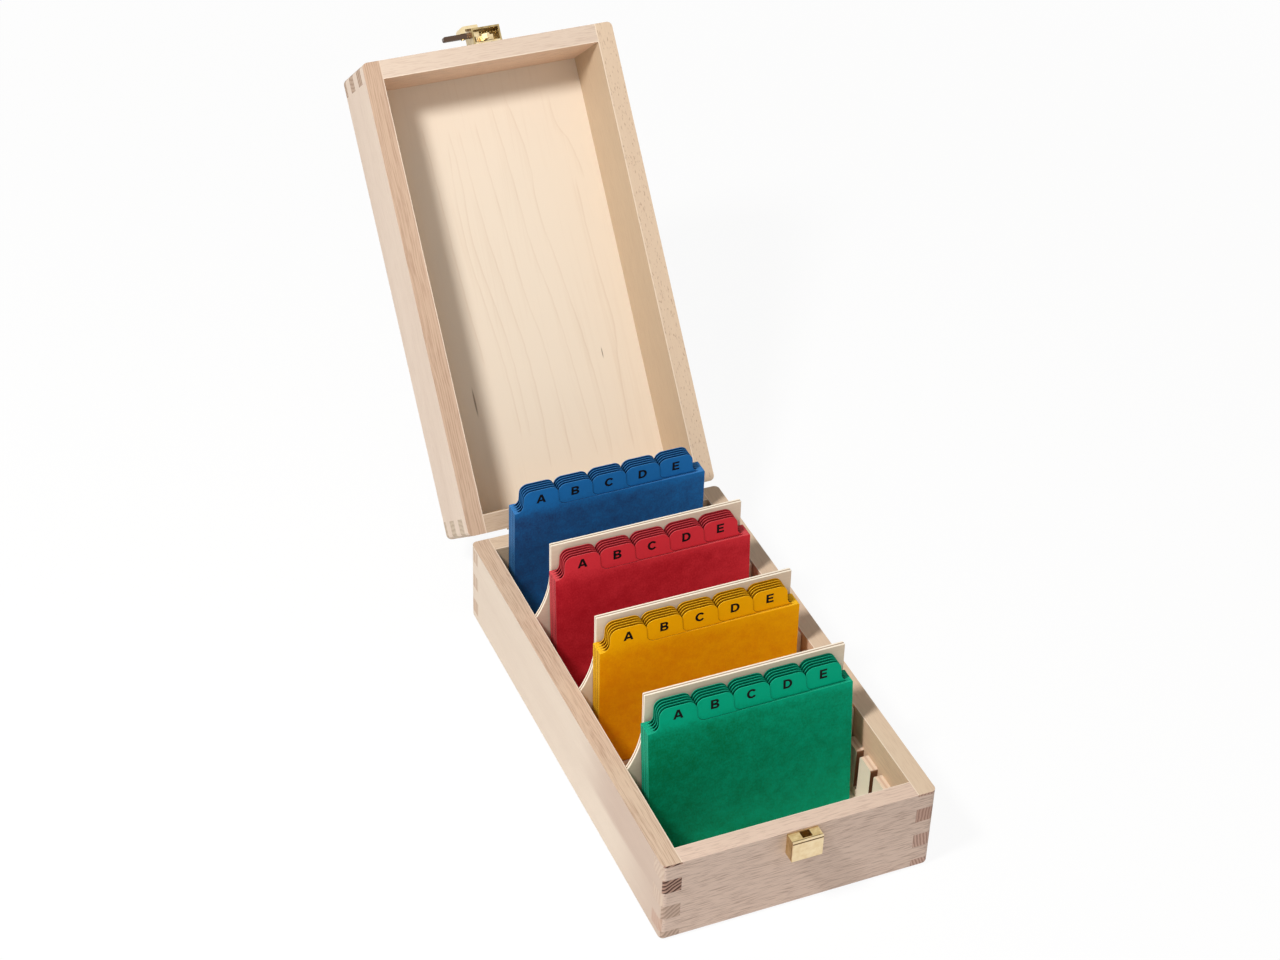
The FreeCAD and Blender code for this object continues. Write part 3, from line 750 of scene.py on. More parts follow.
@dataclass(frozen=True)
class Pressboard(Finish):
    """Coloured pressboard with a cloudy face and cut edges that differ from card to card. Painted light and
    shade: lighter tabs, shading by height and across the face, painted highlights on the top edges and along
    the cut edges, and painted shade in the creases and between the cards.
    """

    light: Colour
    dark: Colour
    # The edge colour is the cut edges' own colour and also the colour of the painted highlights.
    edge: Colour
    # Painted shade: the colour of the creases and of the dark bands between cards.
    gap_shade: Colour
    seed: float
    foot_mm: float = 0.0
    lean: float = 0.0
    end_mm: float = 51.4
    end_blur_mm: float = 0.4
    clouds: Grain = Grain((0.17, 0.17, 1.3), 0.0, 6.0, 0.66)
    cloud_less: float = 0.4
    sweep: Grain = Grain((0.025, 0.05, 0.5), 7.0)
    sweep_weight: float = 0.4
    sweep_less: float = 0.2
    fleck: Grain = Grain((1.3, 0.9, 1.6), 3.0)
    fleck_weight: float = 0.8
    face_gain: Gain = (0.5, 0.26)
    # Painted light and shade: the body is lighter low down and darker above, the tabs are lighter, and the
    # face grows lighter towards the right.
    painted_light_by_height: Ramp = Ramp(10.0, 48.0, 0.06, -0.03)
    painted_light_on_tabs: Ramp = Ramp(64.0, 77.0, 0.0, 0.42)
    painted_light_across: float = 0.0018
    contrast: Ramp = Ramp(0.18, 0.86)
    layers: Grain = Grain((1.0, 1.0, 1.1), 13.0)
    layer_cut: Ramp = Ramp(0.38, 0.62)
    facing_edge: Ramp = Ramp(0.45, 0.8)
    # Strengths of the painted highlights on the top edges and along the cut edges.
    top_highlight_strength: float = 0.85
    arris_highlight_strength: float = 0.8
    arris_mm: float = 0.3
    arris_cut: Ramp = Ramp(0.80, 0.99, 1.0, 0.0)
    # Reach and cut of the painted shade in the creases.
    crease_mm: float = 2.2
    crease_cut: Ramp = Ramp(0.45, 0.80)
    ray_count: int = 6
    skin: Skin = Skin(Ramp(0.2, 0.8, 0.46, 0.60), 0.03, 0.4, 0.06)

    def lay(self, graph: Graph) -> None:
        """Add the recipe's nodes to an empty tree.

        Args:
            graph: The material's tree.
        """
        space = BoardSpace(graph, Run.ACROSS)
        depth = space.depth(0.0, self.foot_mm, self.lean)
        place = graph.vector(space.along, space.across, depth)
        clouds, sweep, fleck = (graph.noise(place, grain, self.seed)
                                for grain in (self.clouds, self.sweep, self.fleck))
        share = graph.scaled(fleck, self.fleck_weight, graph.minus(clouds, self.cloud_less))
        share = graph.scaled(sweep, self.sweep_weight, graph.minus(share, self.sweep_less))
        share = graph.scaled(share, *self.face_gain)
        # Painted light and shade: shading by height, lighter tabs and a lighter right side are added to the
        # face.
        for ramp in (self.painted_light_by_height, self.painted_light_on_tabs):
            share = graph.plus(share, graph.step(space.across, ramp.raised(self.foot_mm)))
        share = graph.scaled(space.along, self.painted_light_across, share)
        face = graph.mix(graph.step(share, self.contrast), self.dark, self.light)
        # The sides at the outer ends are banded card by card between the cut edge's colour and the painted
        # shade colour.
        layers = graph.noise(graph.vector(0.0, 0.0, depth), self.layers, self.seed)
        side = graph.mix(graph.step(layers, self.layer_cut), self.gap_shade, self.edge)
        at_end = graph.step(graph.size(space.along), Ramp(self.end_mm - self.end_blur_mm, self.end_mm))
        colour = graph.mix(graph.step(graph.size(space.end_normal), self.facing_edge),
                           face, graph.mix(at_end, self.edge, side))
        # Painted highlight: the top edges and a narrow band along the cut edges take the lighter edge colour.
        on_top = graph.step(space.up_normal, self.facing_edge)
        for where, strength in ((on_top, self.top_highlight_strength), (self.on_arris(graph), self.arris_highlight_strength)):
            colour = graph.mix(graph.times(where, strength), colour, self.edge)
        # Painted shade: ambient occlusion darkens the creases and the spaces between cards.
        crease = graph.add("ShaderNodeAmbientOcclusion", samples=self.ray_count)
        crease.inputs["Distance"].default_value = self.crease_mm * MM
        colour = graph.mix(graph.step(crease.outputs["AO"], self.crease_cut), self.gap_shade, colour)
        graph.matt(colour, fleck, self.skin)

    def on_arris(self, graph: Graph) -> Socket:
        """Find the cut edges of the cards, where the painted highlight is laid.

        Args:
            graph: The material's tree.

        Returns:
            One close to the edges, zero elsewhere.
        """
        rounded = graph.add("ShaderNodeBevel", samples=self.ray_count)
        rounded.inputs["Radius"].default_value = self.arris_mm * MM
        plain = graph.add("ShaderNodeNewGeometry")
        match = graph.add("ShaderNodeVectorMath", rounded.outputs[0], plain.outputs["True Normal"],
                          operation="DOT_PRODUCT")
        return graph.step(match.outputs["Value"], self.arris_cut)


@dataclass(frozen=True)
class Brass(Finish):
    """Brassed sheet with a fine rolled grain and faint stains, and, where a seam is given, a painted shade
    line along the folded seam.
    """

    light: Colour
    dark: Colour
    roughness: float
    seed: float
    seam_at_mm: float | None = None
    tip: Colour | None = None
    tip_edge: Ramp = Ramp(-7.8, -7.6, 1.0, 0.0)
    # Painted shade: colour of the line along the seam, standing for the shadow in its groove.
    seam: Colour = paint(92, 64, 30)
    seam_half_mm: tuple[float, float] = (0.30, 0.45)
    facing_front: Ramp = Ramp(-0.95, -0.85, 1.0, 0.0)
    lines: Grain = Grain((0.25, 6.0, 6.0))
    line_weight: float = 0.35
    stain: Grain = Grain((0.35, 0.35, 0.35), 5.0, 4.0, 0.6)
    stain_less: float = 0.2
    tone: Ramp = Ramp(0.1, 0.9)
    stain_gain: Gain = (0.18, -0.06)
    relief_mm: float = 0.01
    relief_share: float = 0.3

    def lay(self, graph: Graph) -> None:
        """Add the recipe's nodes to an empty tree.

        Args:
            graph: The material's tree.
        """
        coordinates = graph.add("ShaderNodeTexCoord").outputs["Object"]
        place = graph.stretch(coordinates, IN_MM)
        lines = graph.noise(place, self.lines, self.seed)
        stain = graph.noise(place, self.stain, self.seed)
        share = graph.scaled(lines, self.line_weight, graph.minus(stain, self.stain_less))
        colour = graph.mix(graph.step(share, self.tone), self.light, self.dark)
        if self.tip is not None:
            colour = graph.mix(graph.step(graph.parts(place)[0], self.tip_edge), colour, self.tip)
        # Painted shade: a dark line along the seam stands for the shadow in the fold's groove.
        if self.seam_at_mm is not None:
            colour = graph.mix(self.on_seam(graph, coordinates), colour, self.seam)
        gain, base = self.stain_gain
        roughness = graph.scaled(stain, gain, self.roughness + base)
        graph.surface(Base_Color=colour, Metallic=1.0, Roughness=roughness,
                      Normal=graph.bump(lines, self.relief_mm, self.relief_share))

    def on_seam(self, graph: Graph, place: Socket) -> Socket:
        """One along the folded seam across the front of the sheet, where a painted shade line stands for the
        shadow in its groove, zero elsewhere.

        Args:
            graph: The material's tree.
            place: Place in the piece, in metres.

        Returns:
            The share.
        """
        off = graph.size(graph.minus(graph.parts(place)[2], self.seam_at_mm * MM))
        plain = graph.add("ShaderNodeNewGeometry")
        ahead = graph.step(graph.parts(plain.outputs["True Normal"])[1], self.facing_front)
        begin, end = (half * MM for half in self.seam_half_mm)
        return graph.times(graph.step(off, Ramp(begin, end, 1.0, 0.0)), ahead)


@dataclass(frozen=True)
class Ink(Finish):
    """Black printing ink on card, a little uneven."""

    full: Colour = paint(6, 6, 8)
    worn: Colour = paint(20, 20, 22)
    wear: Grain = Grain((900.0, 900.0, 900.0), 0.0, 3.0)
    wear_cut: Ramp = Ramp(0.3, 0.8)
    roughness: Ramp = Ramp(0.2, 0.8, 0.5, 0.7)
    gleam: float = 0.1

    def lay(self, graph: Graph) -> None:
        """Add the recipe's nodes to an empty tree.

        Args:
            graph: The material's tree.
        """
        wear = graph.noise(graph.add("ShaderNodeTexCoord").outputs["Object"], self.wear, 0.0)
        graph.surface(Base_Color=graph.mix(graph.step(wear, self.wear_cut), self.full, self.worn),
                      Roughness=graph.step(wear, self.roughness), Specular_IOR_Level=self.gleam)


# ---- dressing ------------------------------------------------------------------------------------
SAME_POINT_MM = 0.002
SAME_EDGE_MM = 0.02
SHARP_DEG = 40.0
CHAMFER_STEPS = 2
NORMAL_WEIGHT = 100


def put_in_scene(name: str, data: bpy.types.ID) -> bpy.types.Object:
    """Make an object and link it to the scene.

    Args:
        name: Name of the new object.
        data: Its mesh, curve, lamp or camera.

    Returns:
        The object.
    """
    item = bpy.data.objects.new(name, data)
    bpy.context.scene.collection.objects.link(item)
    return item


def coat(piece: bpy.types.Object, material: bpy.types.Material) -> None:
    """Give a piece one finish all over."""
    piece.data.materials.clear()
    piece.data.materials.append(material)


def dress(node: str, material: bpy.types.Material) -> bpy.types.Object:
    """Give a carried-over node its finish.

    Args:
        node: Name of the node.
        material: The finish.

    Returns:
        The node's object.
    """
    piece = frame["nodes"][node]
    coat(piece, material)
    log.info("%s: %s", node, material.name)
    return piece


def ease_edges(piece: bpy.types.Object, width_mm: float, marked: Rule | None = None) -> None:
    """Take the sharpness off a piece's arrises, and keep its flat faces evenly lit.

    Args:
        piece: The object.
        width_mm: Width of the chamfer.
        marked: Says which corners of the mesh bound the edges to ease, where not all of them are.
    """
    weld = piece.modifiers.new("join", "WELD")
    weld.merge_threshold = SAME_POINT_MM * MM
    bevel = piece.modifiers.new("arris", "BEVEL")
    bevel.width = width_mm * MM
    bevel.segments = CHAMFER_STEPS
    bevel.limit_method = "ANGLE"
    bevel.angle_limit = math.radians(SHARP_DEG)
    bevel.use_clamp_overlap = True
    bevel.harden_normals = True
    if marked is not None:
        group = piece.vertex_groups.new(name="arris")
        group.add([vertex.index for vertex in piece.data.vertices if marked(vertex.co)], 1.0, "REPLACE")
        bevel.limit_method = "VGROUP"
        bevel.vertex_group = group.name
    even = piece.modifiers.new("even", "WEIGHTED_NORMAL")
    even.weight = NORMAL_WEIGHT
    even.keep_sharp = True


def corners(node: str) -> list[Vector]:
    """Corners of a carried-over node's mesh."""
    return [vertex.co for vertex in frame["nodes"][node].data.vertices]


@dataclass(frozen=True)
class Lean:
    """How a board or a stack of cards stands: its foot and how far it leans back."""

    foot: Vector
    angle: float

    @property
    def up(self) -> Vector:
        """Direction from the foot to the top edge."""
        return Vector((0.0, math.sin(self.angle), math.cos(self.angle)))

    @property
    def out(self) -> Vector:
        """Direction the front face looks."""
        return Vector((0.0, -math.cos(self.angle), math.sin(self.angle)))


def lean_of(node: str) -> Lean:
    """Measure how the frontmost board of a node leans.

    Args:
        node: Name of the node.

    Returns:
        The lean of its front face.
    """
    points = corners(node)
    near = min(point.y for point in points)
    foot = min((point for point in points if point.y < near + SAME_EDGE_MM * MM), key=lambda point: point.z)
    peak = max(point.z for point in points)
    top_y = min(point.y for point in points if point.z > peak - SAME_POINT_MM * MM)
    return Lean(Vector((0.0, foot.y, foot.z)), math.atan2(top_y - foot.y, peak - foot.z))


@dataclass
class Case:
    """The beech boards and plywood panels of the base and the lid."""

    arris_mm: float = 0.16
    same_rim_mm: float = 0.2
    inner_half_length_mm: float = 114.8
    marks_mm: tuple[tuple[float, float, float, float], ...] = (
        (56.4, -38.2, 19.0, 1.3),
        (44.5, 37.8, 7.5, 0.8),
    )
    rings_mm: tuple[tuple[tuple[float, float], ...], ...] = (
        ((-98.0, 40.3), (-82.0, 41.3), (-72.0, 45.8), (-58.0, 49.2), (-50.0, 50.0)),
        ((-50.0, 45.0), (-4.0, 45.8), (31.0, 48.0), (51.0, 45.8), (98.0, 43.7)),
        ((-98.0, 16.3), (-62.0, 21.3), (-41.0, 20.3), (-4.0, 24.7), (37.0, 29.5), (74.0, 31.7),
         (99.0, 30.8)),
        ((-98.0, 7.0), (-58.0, 10.0), (-16.0, 12.5), (12.0, 17.0), (49.0, 20.3), (99.0, 22.5)),
        ((-90.0, -3.7), (-32.0, 0.0), (9.0, 3.0), (31.0, 6.3), (76.0, 8.0), (99.0, 7.5)),
        ((-88.0, -13.3), (-27.0, -10.8), (-1.0, -8.0), (47.0, -3.3), (99.0, -4.7)),
        ((-88.0, -19.2), (-57.0, -18.3), (-32.0, -19.7), (31.0, -12.8), (80.0, -12.0)),
        ((-80.0, -21.3), (-21.0, -23.3), (9.0, -20.3), (51.0, -17.0), (80.0, -17.0)),
        ((-92.0, -33.3), (-51.0, -31.7), (-14.0, -31.0), (40.0, -28.0)),
    )

    def build(self) -> None:
        """Dress the boards and panels."""
        for node, finish in self.boards().items():
            board = dress(node, finish.build("beech_" + node))
            ease_edges(board, self.arris_mm, self.rim_rule(node, finish.in_lid))
        lid = Veneer(in_lid=True, seed=2.0, rings_mm=self.rings_mm, marks_mm=self.marks_mm)
        dress("lid_panel", lid.build("veneer_lid"))
        dress("base_bottom", Veneer(seed=8.0, rings_mm=self.rings_mm[2:6]).build("veneer_bottom"))

    def rim_rule(self, node: str, in_lid: bool) -> Rule:
        """Make the rule that picks a board's rims and outer corners and leaves its fingers sharp.

        Args:
            node: Node of the board.
            in_lid: Whether the board belongs to the lid.

        Returns:
            The rule.
        """
        near = self.same_rim_mm * MM
        side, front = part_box("base_left")[0].x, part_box("base_front")[0].y
        turn = Matrix.Rotation(opening_angle(), 3, "X") if in_lid else Matrix.Identity(3)
        hinge = hinge_point()
        heights = [(turn @ (point - hinge) + hinge).z for point in corners(node)]
        rims = (min(heights), max(heights))

        def marked(point: Vector) -> bool:
            """Tell whether a corner of the mesh is on a rim or on an outer upright corner.

            Args:
                point: The corner, as the lid stands.

            Returns:
                Whether it is.
            """
            shut = turn @ (point - hinge) + hinge
            on_corner = abs(abs(shut.x) + side) < near and abs(abs(shut.y) + front) < near
            return on_corner or any(abs(shut.z - rim) < near for rim in rims)

        return marked

    def boards(self) -> dict[str, Beech]:
        """Choose a piece of wood for each board.

        Returns:
            The finish of each board by its node.
        """
        quiet = EndGrain((24.0, -160.0), 3.0, paint(214, 190, 168), paint(218, 198, 178),
                         paint(190, 160, 138))
        base_front = EndGrain((24.0, -160.0), 2.2, paint(204, 174, 156), paint(216, 196, 178),
                              paint(186, 154, 136), split_mm=14.0, contrast=0.4)
        base_left = EndGrain((-26.0, -29.0), 2.0, paint(206, 180, 162), paint(186, 150, 132),
                             paint(74, 46, 38), split_mm=26.0, contrast=1.0, low_contrast=0.34)
        base_right = EndGrain((30.0, 130.0), 1.6, paint(208, 176, 160), paint(196, 162, 146),
                              paint(138, 102, 88))
        lid_front = EndGrain((70.0, -150.0), 2.2, paint(200, 174, 152), paint(196, 170, 148),
                             paint(158, 128, 108))
        lid_back = EndGrain((70.0, 190.0), 2.4, paint(206, 188, 166), paint(206, 188, 166),
                            paint(180, 156, 134))
        half = self.inner_half_length_mm
        return {
            "base_front": Beech(Run.ACROSS, base_front, seed=1.0, face=paint(218, 195, 180),
                                rim=paint(226, 200, 182), dark=paint(142, 112, 98), inner_half_mm=half,
                                face_lines=0.42, rim_lines=0.25),
            "base_back": Beech(Run.ACROSS, quiet, seed=5.0, inner_half_mm=half),
            "base_left": Beech(Run.LENGTHWISE, base_left, seed=9.0, face=paint(228, 212, 195),
                               rim=paint(216, 190, 166), face_lines=0.05, rim_lines=0.2,
                               rim_streaks=0.32, bands=0.16, heart=paint(206, 184, 168)),
            "base_right": Beech(Run.LENGTHWISE, base_right, seed=13.0, inside=paint(226, 191, 161),
                                face_lines=0.2, rim_lines=0.14),
            "lid_front": Beech(Run.ACROSS, lid_front, in_lid=True, seed=17.0, rim=paint(222, 202, 184),
                               inside=paint(242, 210, 184), inner_half_mm=half, rim_lines=0.2),
            "lid_back": Beech(Run.ACROSS, lid_back, in_lid=True, seed=21.0, rim=paint(202, 177, 152),
                              inner_half_mm=half, rim_lines=0.35),
            "lid_left": Beech(Run.LENGTHWISE, quiet, in_lid=True, seed=25.0, face=paint(230, 211, 194),
                              rim=paint(205, 176, 152), face_lines=0.12, rim_lines=0.10,
                              rim_streaks=0.40, bands=0.16),
            "lid_right": Beech(Run.LENGTHWISE, quiet, in_lid=True, seed=29.0, inside=paint(208, 186, 158),
                               face_lines=0.15, rim_lines=0.05, rim_specks=0.45),
        }


# ---- letters -------------------------------------------------------------------------------------
LETTER_WIDTHS = {"a": 1.0, "b": 0.84, "c": 0.96, "d": 0.9, "e": 0.76}
BOW_STEPS = 14


def bow(centre: tuple[float, float], reach: tuple[float, float], start_deg: float, end_deg: float) -> Outline:
    """Points along part of an ellipse.

    Args:
        centre: Its centre.
        reach: Its half width and half height.
        start_deg: Angle of the first point.
        end_deg: Angle of the last point.

    Returns:
        The points.
    """
    angles = [math.radians(start_deg + (end_deg - start_deg) * step / BOW_STEPS)
              for step in range(BOW_STEPS + 1)]
    return [(centre[0] + reach[0] * math.cos(angle), centre[1] + reach[1] * math.sin(angle))
            for angle in angles]


def letter_outlines(letter: str) -> list[Outline]:
    """Outlines of a bold sans-serif letter of unit height, the outer one first.

    Args:
        letter: One of the index letters.

    Returns:
        The outlines.
    """
    shapes = {
        "a": [[(0.0, 0.0), (0.22, 0.0), (0.29, 0.19), (0.71, 0.19), (0.78, 0.0), (1.0, 0.0),
               (0.62, 1.0), (0.38, 1.0)],
              [(0.355, 0.37), (0.645, 0.37), (0.5, 0.77)]],
        "b": [[(0.0, 0.0)] + bow((0.53, 0.27), (0.31, 0.27), -90, 86)
              + bow((0.51, 0.77), (0.28, 0.23), -86, 90) + [(0.0, 1.0)],
              [(0.21, 0.17)] + bow((0.50, 0.28), (0.12, 0.11), -90, 90) + [(0.21, 0.39)],
              [(0.21, 0.60)] + bow((0.48, 0.715), (0.10, 0.115), -90, 90) + [(0.21, 0.83)]],
        "c": [bow((0.5, 0.5), (0.5, 0.51), 38, 322) + bow((0.5, 0.5), (0.28, 0.33), 322, 38)],
        "d": [[(0.0, 0.0)] + bow((0.40, 0.5), (0.50, 0.5), -90, 90) + [(0.0, 1.0)],
              [(0.21, 0.17)] + bow((0.38, 0.5), (0.30, 0.33), -90, 90) + [(0.21, 0.83)]],
        "e": [[(0.0, 0.0), (0.76, 0.0), (0.76, 0.17), (0.21, 0.17), (0.21, 0.42), (0.70, 0.42),
               (0.70, 0.59), (0.21, 0.59), (0.21, 0.83), (0.74, 0.83), (0.74, 1.0), (0.0, 1.0)]],
    }
    return shapes[letter]


@dataclass
class Filing:
    """Slotted strips, dividers and guide cards."""

    letter_height: float = 4.9 * MM
    letter_lift: float = 0.03 * MM
    letter_weight: float = 0.09 * MM
    letter_drop: float = 5.6 * MM
    tab_top_mm: float = 0.05
    strip_arris_mm: float = 0.25
    divider_arris_mm: float = 0.2
    card_arris_mm: float = 0.06
    divider_count: int = 3
    # The strips' slots get painted shade on their sides.
    strip: ThinPly = ThinPly(0.0, 0.0, Run.LENGTHWISE, seed=3.0, light=paint(252, 236, 218),
                             dark=paint(240, 220, 198), edge=paint(230, 206, 184),
                             core=paint(210, 178, 154), slot=paint(122, 84, 58))
    # Each card colour lists the face's light and dark colours, the cut edge colour that also gives the
    # painted highlights, and the painted shade colour.
    colours: dict[CardColour, Pressboard] = field(default_factory=lambda: {
        CardColour.GREEN: Pressboard(paint(0, 168, 130), paint(0, 112, 68), paint(36, 182, 144),
                                     paint(0, 42, 28), seed=1.0),
        CardColour.YELLOW: Pressboard(paint(255, 184, 2), paint(234, 142, 0), paint(252, 196, 44),
                                      paint(132, 66, 0), seed=2.0),
        CardColour.RED: Pressboard(paint(220, 54, 66), paint(174, 21, 36), paint(226, 88, 94),
                                   paint(80, 2, 12), seed=3.0),
        CardColour.BLUE: Pressboard(paint(34, 114, 186), paint(38, 68, 116), paint(66, 132, 196),
                                    paint(4, 18, 44), seed=4.0),
    })

    def build(self) -> None:
        """Dress the strips, the dividers and the cards, and print the letters."""
        self.dress_strips()
        self.dress_dividers()
        self.dress_cards()

    def dress_strips(self) -> None:
        """Dress the slotted strips."""
        for side in ("left", "right"):
            node = "slot_strip_" + side
            low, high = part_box(node)
            finish = replace(self.strip, middle_mm=(low.x + high.x) / 2 / MM,
                             thickness_mm=(high.x - low.x) / MM)
            ease_edges(dress(node, finish.build("strip_ply_" + side)), self.strip_arris_mm)

    def dress_dividers(self) -> None:
        """Dress the dividers, whose plies lean with them."""
        for number in range(1, self.divider_count + 1):
            node = "divider_" + str(number)
            stand = lean_of(node)
            across = [(point - stand.foot).dot(stand.out) for point in corners(node)]
            thickness = max(across) - min(across)
            middle = (stand.foot.y + thickness / 2 / math.cos(stand.angle)) / MM
            finish = ThinPly(middle, thickness / MM, foot_mm=stand.foot.z / MM, lean=stand.angle,
                             seed=float(number))
            ease_edges(dress(node, finish.build("divider_ply_" + str(number))), self.divider_arris_mm)

    def dress_cards(self) -> None:
        """Dress the cards and print a letter on the front card of each node."""
        ink = Ink().build("letter_ink")
        for colour, finish in self.colours.items():
            stand = lean_of(colour.value + "_guides_a")
            card = replace(finish, foot_mm=stand.foot.z / MM, lean=stand.angle)
            board = card.build(colour.value + "_pressboard")
            for letter in LETTERS:
                node = colour.value + "_guides_" + letter
                ease_edges(dress(node, board), self.card_arris_mm)
                self.print_letter(node, letter, colour, ink)

    def print_letter(self, node: str, letter: str, colour: CardColour, ink: bpy.types.Material) -> None:
        """Print the letter on the frontmost card of one node.

        Args:
            node: Node of the cards.
            letter: Letter to print.
            colour: Colour of the cards.
            ink: Finish of the letter.
        """
        stand = lean_of(node)
        top = max((point - stand.foot).dot(stand.up) for point in corners(node))
        rise = top - self.letter_drop - self.letter_height / 2
        piece = put_in_scene("letter_" + colour.value + "_" + letter, self.letter_mesh(letter))
        piece.location = stand.foot + rise * stand.up + self.letter_lift / 2 * stand.out
        piece.location.x = self.tab_middle(node)
        piece.rotation_euler = (-stand.angle, 0.0, 0.0)
        coat(piece, ink)
        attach(piece, "cards_" + colour.value)
        log.info("%s on %s", piece.name, node)

    def letter_mesh(self, letter: str) -> bpy.types.Mesh:
        """Mesh of an upright letter that stands on its own base line.

        Args:
            letter: The letter.

        Returns:
            The mesh, facing the front.
        """
        curve = bpy.data.curves.new("letter", "CURVE")
        curve.dimensions = "2D"
        curve.fill_mode = "BOTH"
        curve.extrude = self.letter_lift / 2
        curve.offset = self.letter_weight
        middle = LETTER_WIDTHS[letter] / 2
        for outline in letter_outlines(letter):
            line = curve.splines.new("POLY")
            line.points.add(len(outline) - 1)
            for point, (across, up) in zip(line.points, outline):
                point.co = ((across - middle) * self.letter_height, up * self.letter_height, 0.0, 1.0)
            line.use_cyclic_u = True
        holder = put_in_scene("letter", curve)
        bpy.context.view_layer.update()
        mesh = bpy.data.meshes.new_from_object(holder.evaluated_get(bpy.context.evaluated_depsgraph_get()))
        bpy.data.objects.remove(holder)
        mesh.transform(Euler((math.radians(90), 0, 0)).to_matrix().to_4x4())
        return mesh

    def tab_middle(self, node: str) -> float:
        """Find the middle of the tabs of one node, from its highest points.

        Args:
            node: Node of the cards.

        Returns:
            The middle, across the box.
        """
        points = corners(node)
        top = max(point.z for point in points)
        reach = [point.x for point in points if point.z > top - self.tab_top_mm * MM]
        return (min(reach) + max(reach)) / 2


@dataclass
class Fittings:
    """Keeper, latch and hinges."""

    seam_at_mm: float = 46.0
    slide_tip: Colour = paint(96, 78, 66)

    def finishes(self) -> dict[str, tuple[Brass, tuple[str, ...]]]:
        """Choose a brass for each metal piece.

        Returns:
            Each brass by its material's name, with the nodes made of it.
        """
        leaves = ("hinge_left_base_leaf", "hinge_right_base_leaf",
                  "hinge_left_lid_leaf", "hinge_right_lid_leaf")
        screws = ("keeper_screws", "latch_screws", "hinge_base_screws", "hinge_lid_screws",
                  "hinge_left_pin", "hinge_right_pin", "latch_rivet")
        return {
            "brass_bright": (Brass(paint(244, 226, 186), paint(226, 202, 150), roughness=0.34, seed=1.0),
                             ("latch_thumb_piece", "latch_back_plate")),
            "brass_cover": (Brass(paint(244, 224, 186), paint(226, 198, 150), roughness=0.34, seed=7.0,
                                  seam_at_mm=self.seam_at_mm),
                            ("keeper_cover",)),
            "brass_housing": (Brass(paint(232, 208, 156), paint(190, 160, 106), roughness=0.30, seed=5.0),
                              ("keeper_housing",)),
            "brass_plain": (Brass(paint(190, 166, 108), paint(128, 104, 58), roughness=0.26, seed=2.0),
                            leaves),
            "brass_case": (Brass(paint(222, 198, 146), paint(130, 104, 60), roughness=0.22, seed=4.0),
                           ("latch_case",)),
            "brass_slide": (Brass(paint(250, 232, 190), paint(214, 184, 130), roughness=0.3, seed=3.0,
                                  tip=self.slide_tip),
                            ("latch_slide",)),
            "brass_screws": (Brass(paint(206, 184, 126), paint(140, 112, 62), roughness=0.3, seed=6.0),
                             screws),
        }

    def build(self) -> None:
        """Dress the metal pieces."""
        for name, (finish, nodes) in self.finishes().items():
            material = finish.build(name)
            for node in nodes:
                dress(node, material)
        self.fit_spring(bpy.data.materials["brass_screws"])

    def fit_spring(self, finish: bpy.types.Material) -> None:
        """Put in a copy of the latch's coil spring, attached to the lid, and hide the frame's own spring.

        Args:
            finish: Its material.
        """
        spring = put_in_scene("spring_coil", frame["nodes"]["latch_spring"].data.copy())
        coat(spring, finish)
        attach(spring, "lid")
        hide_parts("latch_spring")
        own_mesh(spring)


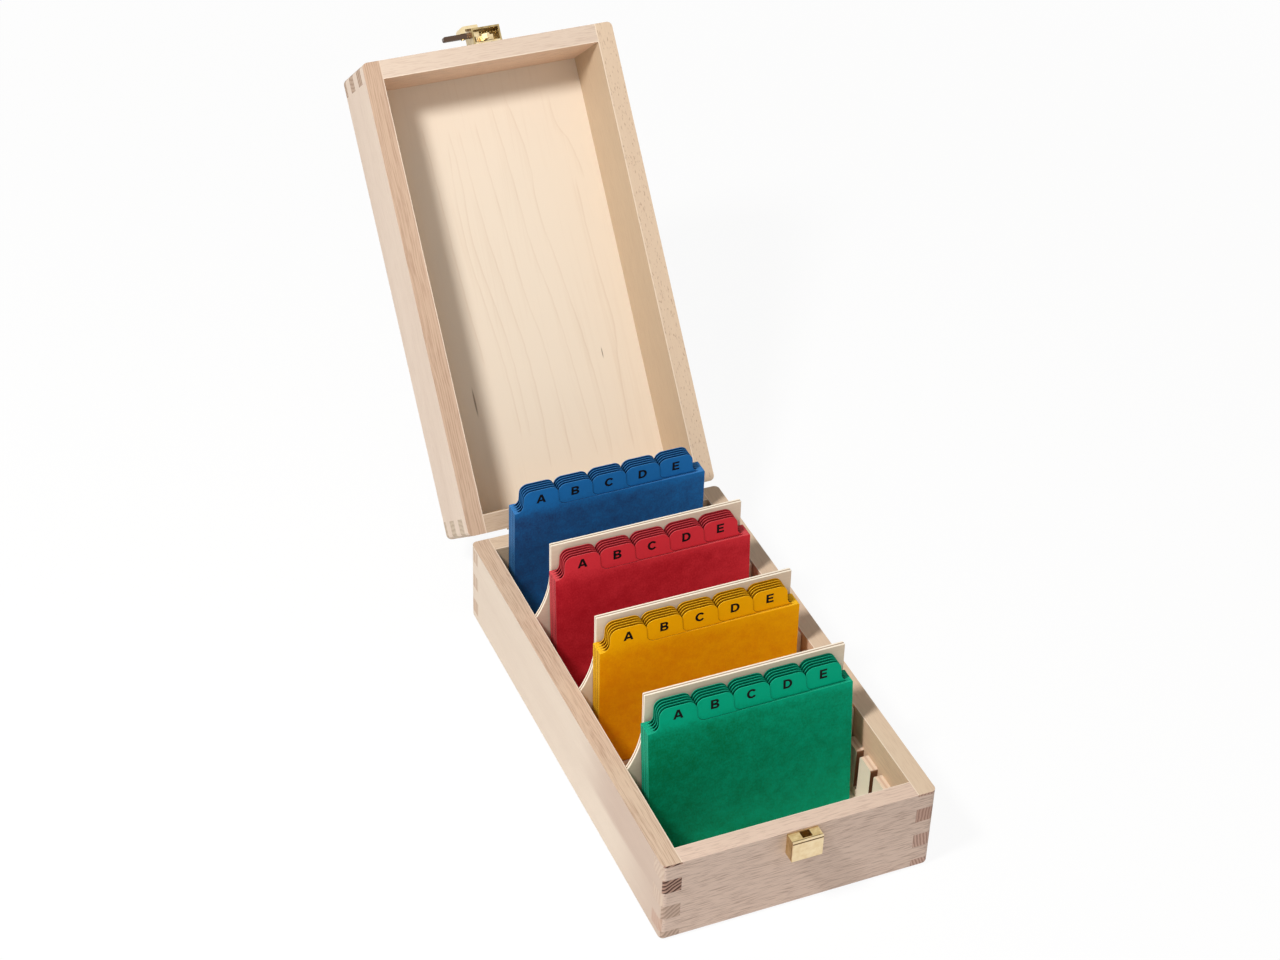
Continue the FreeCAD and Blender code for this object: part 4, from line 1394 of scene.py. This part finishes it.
@dataclass
class Studio:
    """Floor, light and camera."""

    floor_half: float = 4.0
    floor_grey: Colour = (0.86, 0.86, 0.86, 1.0)
    floor_glow: Ramp = Ramp(0.4, 1.6, 0.93, 1.0)
    key_place: Triple = (-0.694, -0.256, 1.111)
    key_aim: Triple = (0.0, 0.08, 0.08)
    key_power: float = 13.8
    key_size: float = 0.21
    key_colour: Triple = (1.0, 0.99, 0.97)
    fill_side: Triple = (0.1, -1.0, 0.05)
    fill_strength: float = 0.40
    fill_colour: Colour = (1.0, 0.965, 0.925, 1.0)
    sky_strength: float = 0.24
    camera_place: Triple = (-0.4396, -0.9050, 0.9205)
    camera_turn_deg: Triple = (52.779, -1.768, -22.916)
    lens_mm: float = 76.5
    film_mm: float = 36.0
    clip_start: float = 0.01

    def build(self) -> None:
        """Set up the floor, the light and the camera."""
        self.lay_floor()
        self.light_key()
        self.light_sky()
        self.place_camera()

    def seen(self, graph: Graph) -> Socket:
        """One for what the camera sees, straight or mirrored, and zero for what lights the box."""
        paths = graph.add("ShaderNodeLightPath")
        return graph.larger(paths.outputs["Is Camera Ray"], paths.outputs["Is Glossy Ray"])

    def lay_floor(self) -> None:
        """Lay a pale floor that is nearly white to the camera and keeps the shadow."""
        half = self.floor_half
        shape = bmesh.new()
        shape.faces.new([shape.verts.new((x, y, 0.0)) for x, y in
                         ((-half, -half), (half, -half), (half, half), (-half, half))])
        mesh = bpy.data.meshes.new("floor")
        shape.to_mesh(mesh)
        shape.free()
        floor = put_in_scene("floor", mesh)
        graph = Graph(bpy.data.materials.new("floor_white"))
        seen = self.seen(graph)
        plain = graph.add("ShaderNodeBsdfDiffuse", graph.mix(seen, self.floor_grey, WHITE))
        glow = graph.add("ShaderNodeEmission", WHITE)
        reach = graph.add("ShaderNodeVectorMath", graph.add("ShaderNodeTexCoord").outputs["Object"],
                          operation="LENGTH")
        share = graph.times(seen, graph.step(reach.outputs["Value"], self.floor_glow))
        graph.close(graph.add("ShaderNodeMixShader", share, plain.outputs[0], glow.outputs[0]).outputs[0])
        mesh.materials.append(graph.owner)

    def light_key(self) -> None:
        """Hang a round soft lamp high on the left."""
        lamp = bpy.data.lights.new("key", "AREA")
        lamp.shape = "DISK"
        lamp.size = self.key_size
        lamp.energy = self.key_power
        lamp.color = self.key_colour
        key = put_in_scene("key", lamp)
        key.location = self.key_place
        aim = Vector(self.key_aim) - Vector(self.key_place)
        key.rotation_euler = aim.to_track_quat("-Z", "Y").to_euler()
        key.visible_camera = False

    def light_sky(self) -> None:
        """Fill the shadows from a pale room, brighter in front, that the camera sees as white."""
        world = bpy.data.worlds.new("studio")
        graph = Graph(world)
        facing = graph.add("ShaderNodeVectorMath", graph.add("ShaderNodeTexCoord").outputs["Generated"],
                           Vector(self.fill_side).normalized(), operation="DOT_PRODUCT")
        toward = graph.larger(facing.outputs["Value"], 0.0)
        strength = graph.scaled(toward, self.fill_strength, self.sky_strength)
        fill = graph.add("ShaderNodeBackground", self.fill_colour, strength)
        white = graph.add("ShaderNodeBackground", WHITE, 1.0)
        blend = graph.add("ShaderNodeMixShader", self.seen(graph), fill.outputs[0], white.outputs[0])
        graph.close(blend.outputs[0], "ShaderNodeOutputWorld")
        bpy.context.scene.world = world

    def place_camera(self) -> None:
        """Put the camera in front, to the left and above."""
        lens = bpy.data.cameras.new("camera")
        lens.sensor_fit = "HORIZONTAL"
        lens.sensor_width = self.film_mm
        lens.lens = self.lens_mm
        lens.clip_start = self.clip_start
        camera = put_in_scene("camera", lens)
        camera.location = self.camera_place
        camera.rotation_euler = Euler([math.radians(turn) for turn in self.camera_turn_deg], "XYZ")
        bpy.context.scene.camera = camera


def main() -> None:
    """Build the whole dressed model in order."""
    logging.basicConfig(level=logging.INFO)
    bpy.context.scene.view_settings.view_transform = "Standard"
    for assembly in (Case(), Filing(), Fittings(), Studio()):
        log.info("building %s", type(assembly).__name__)
        assembly.build()


if __name__ == "__main__":
    main()
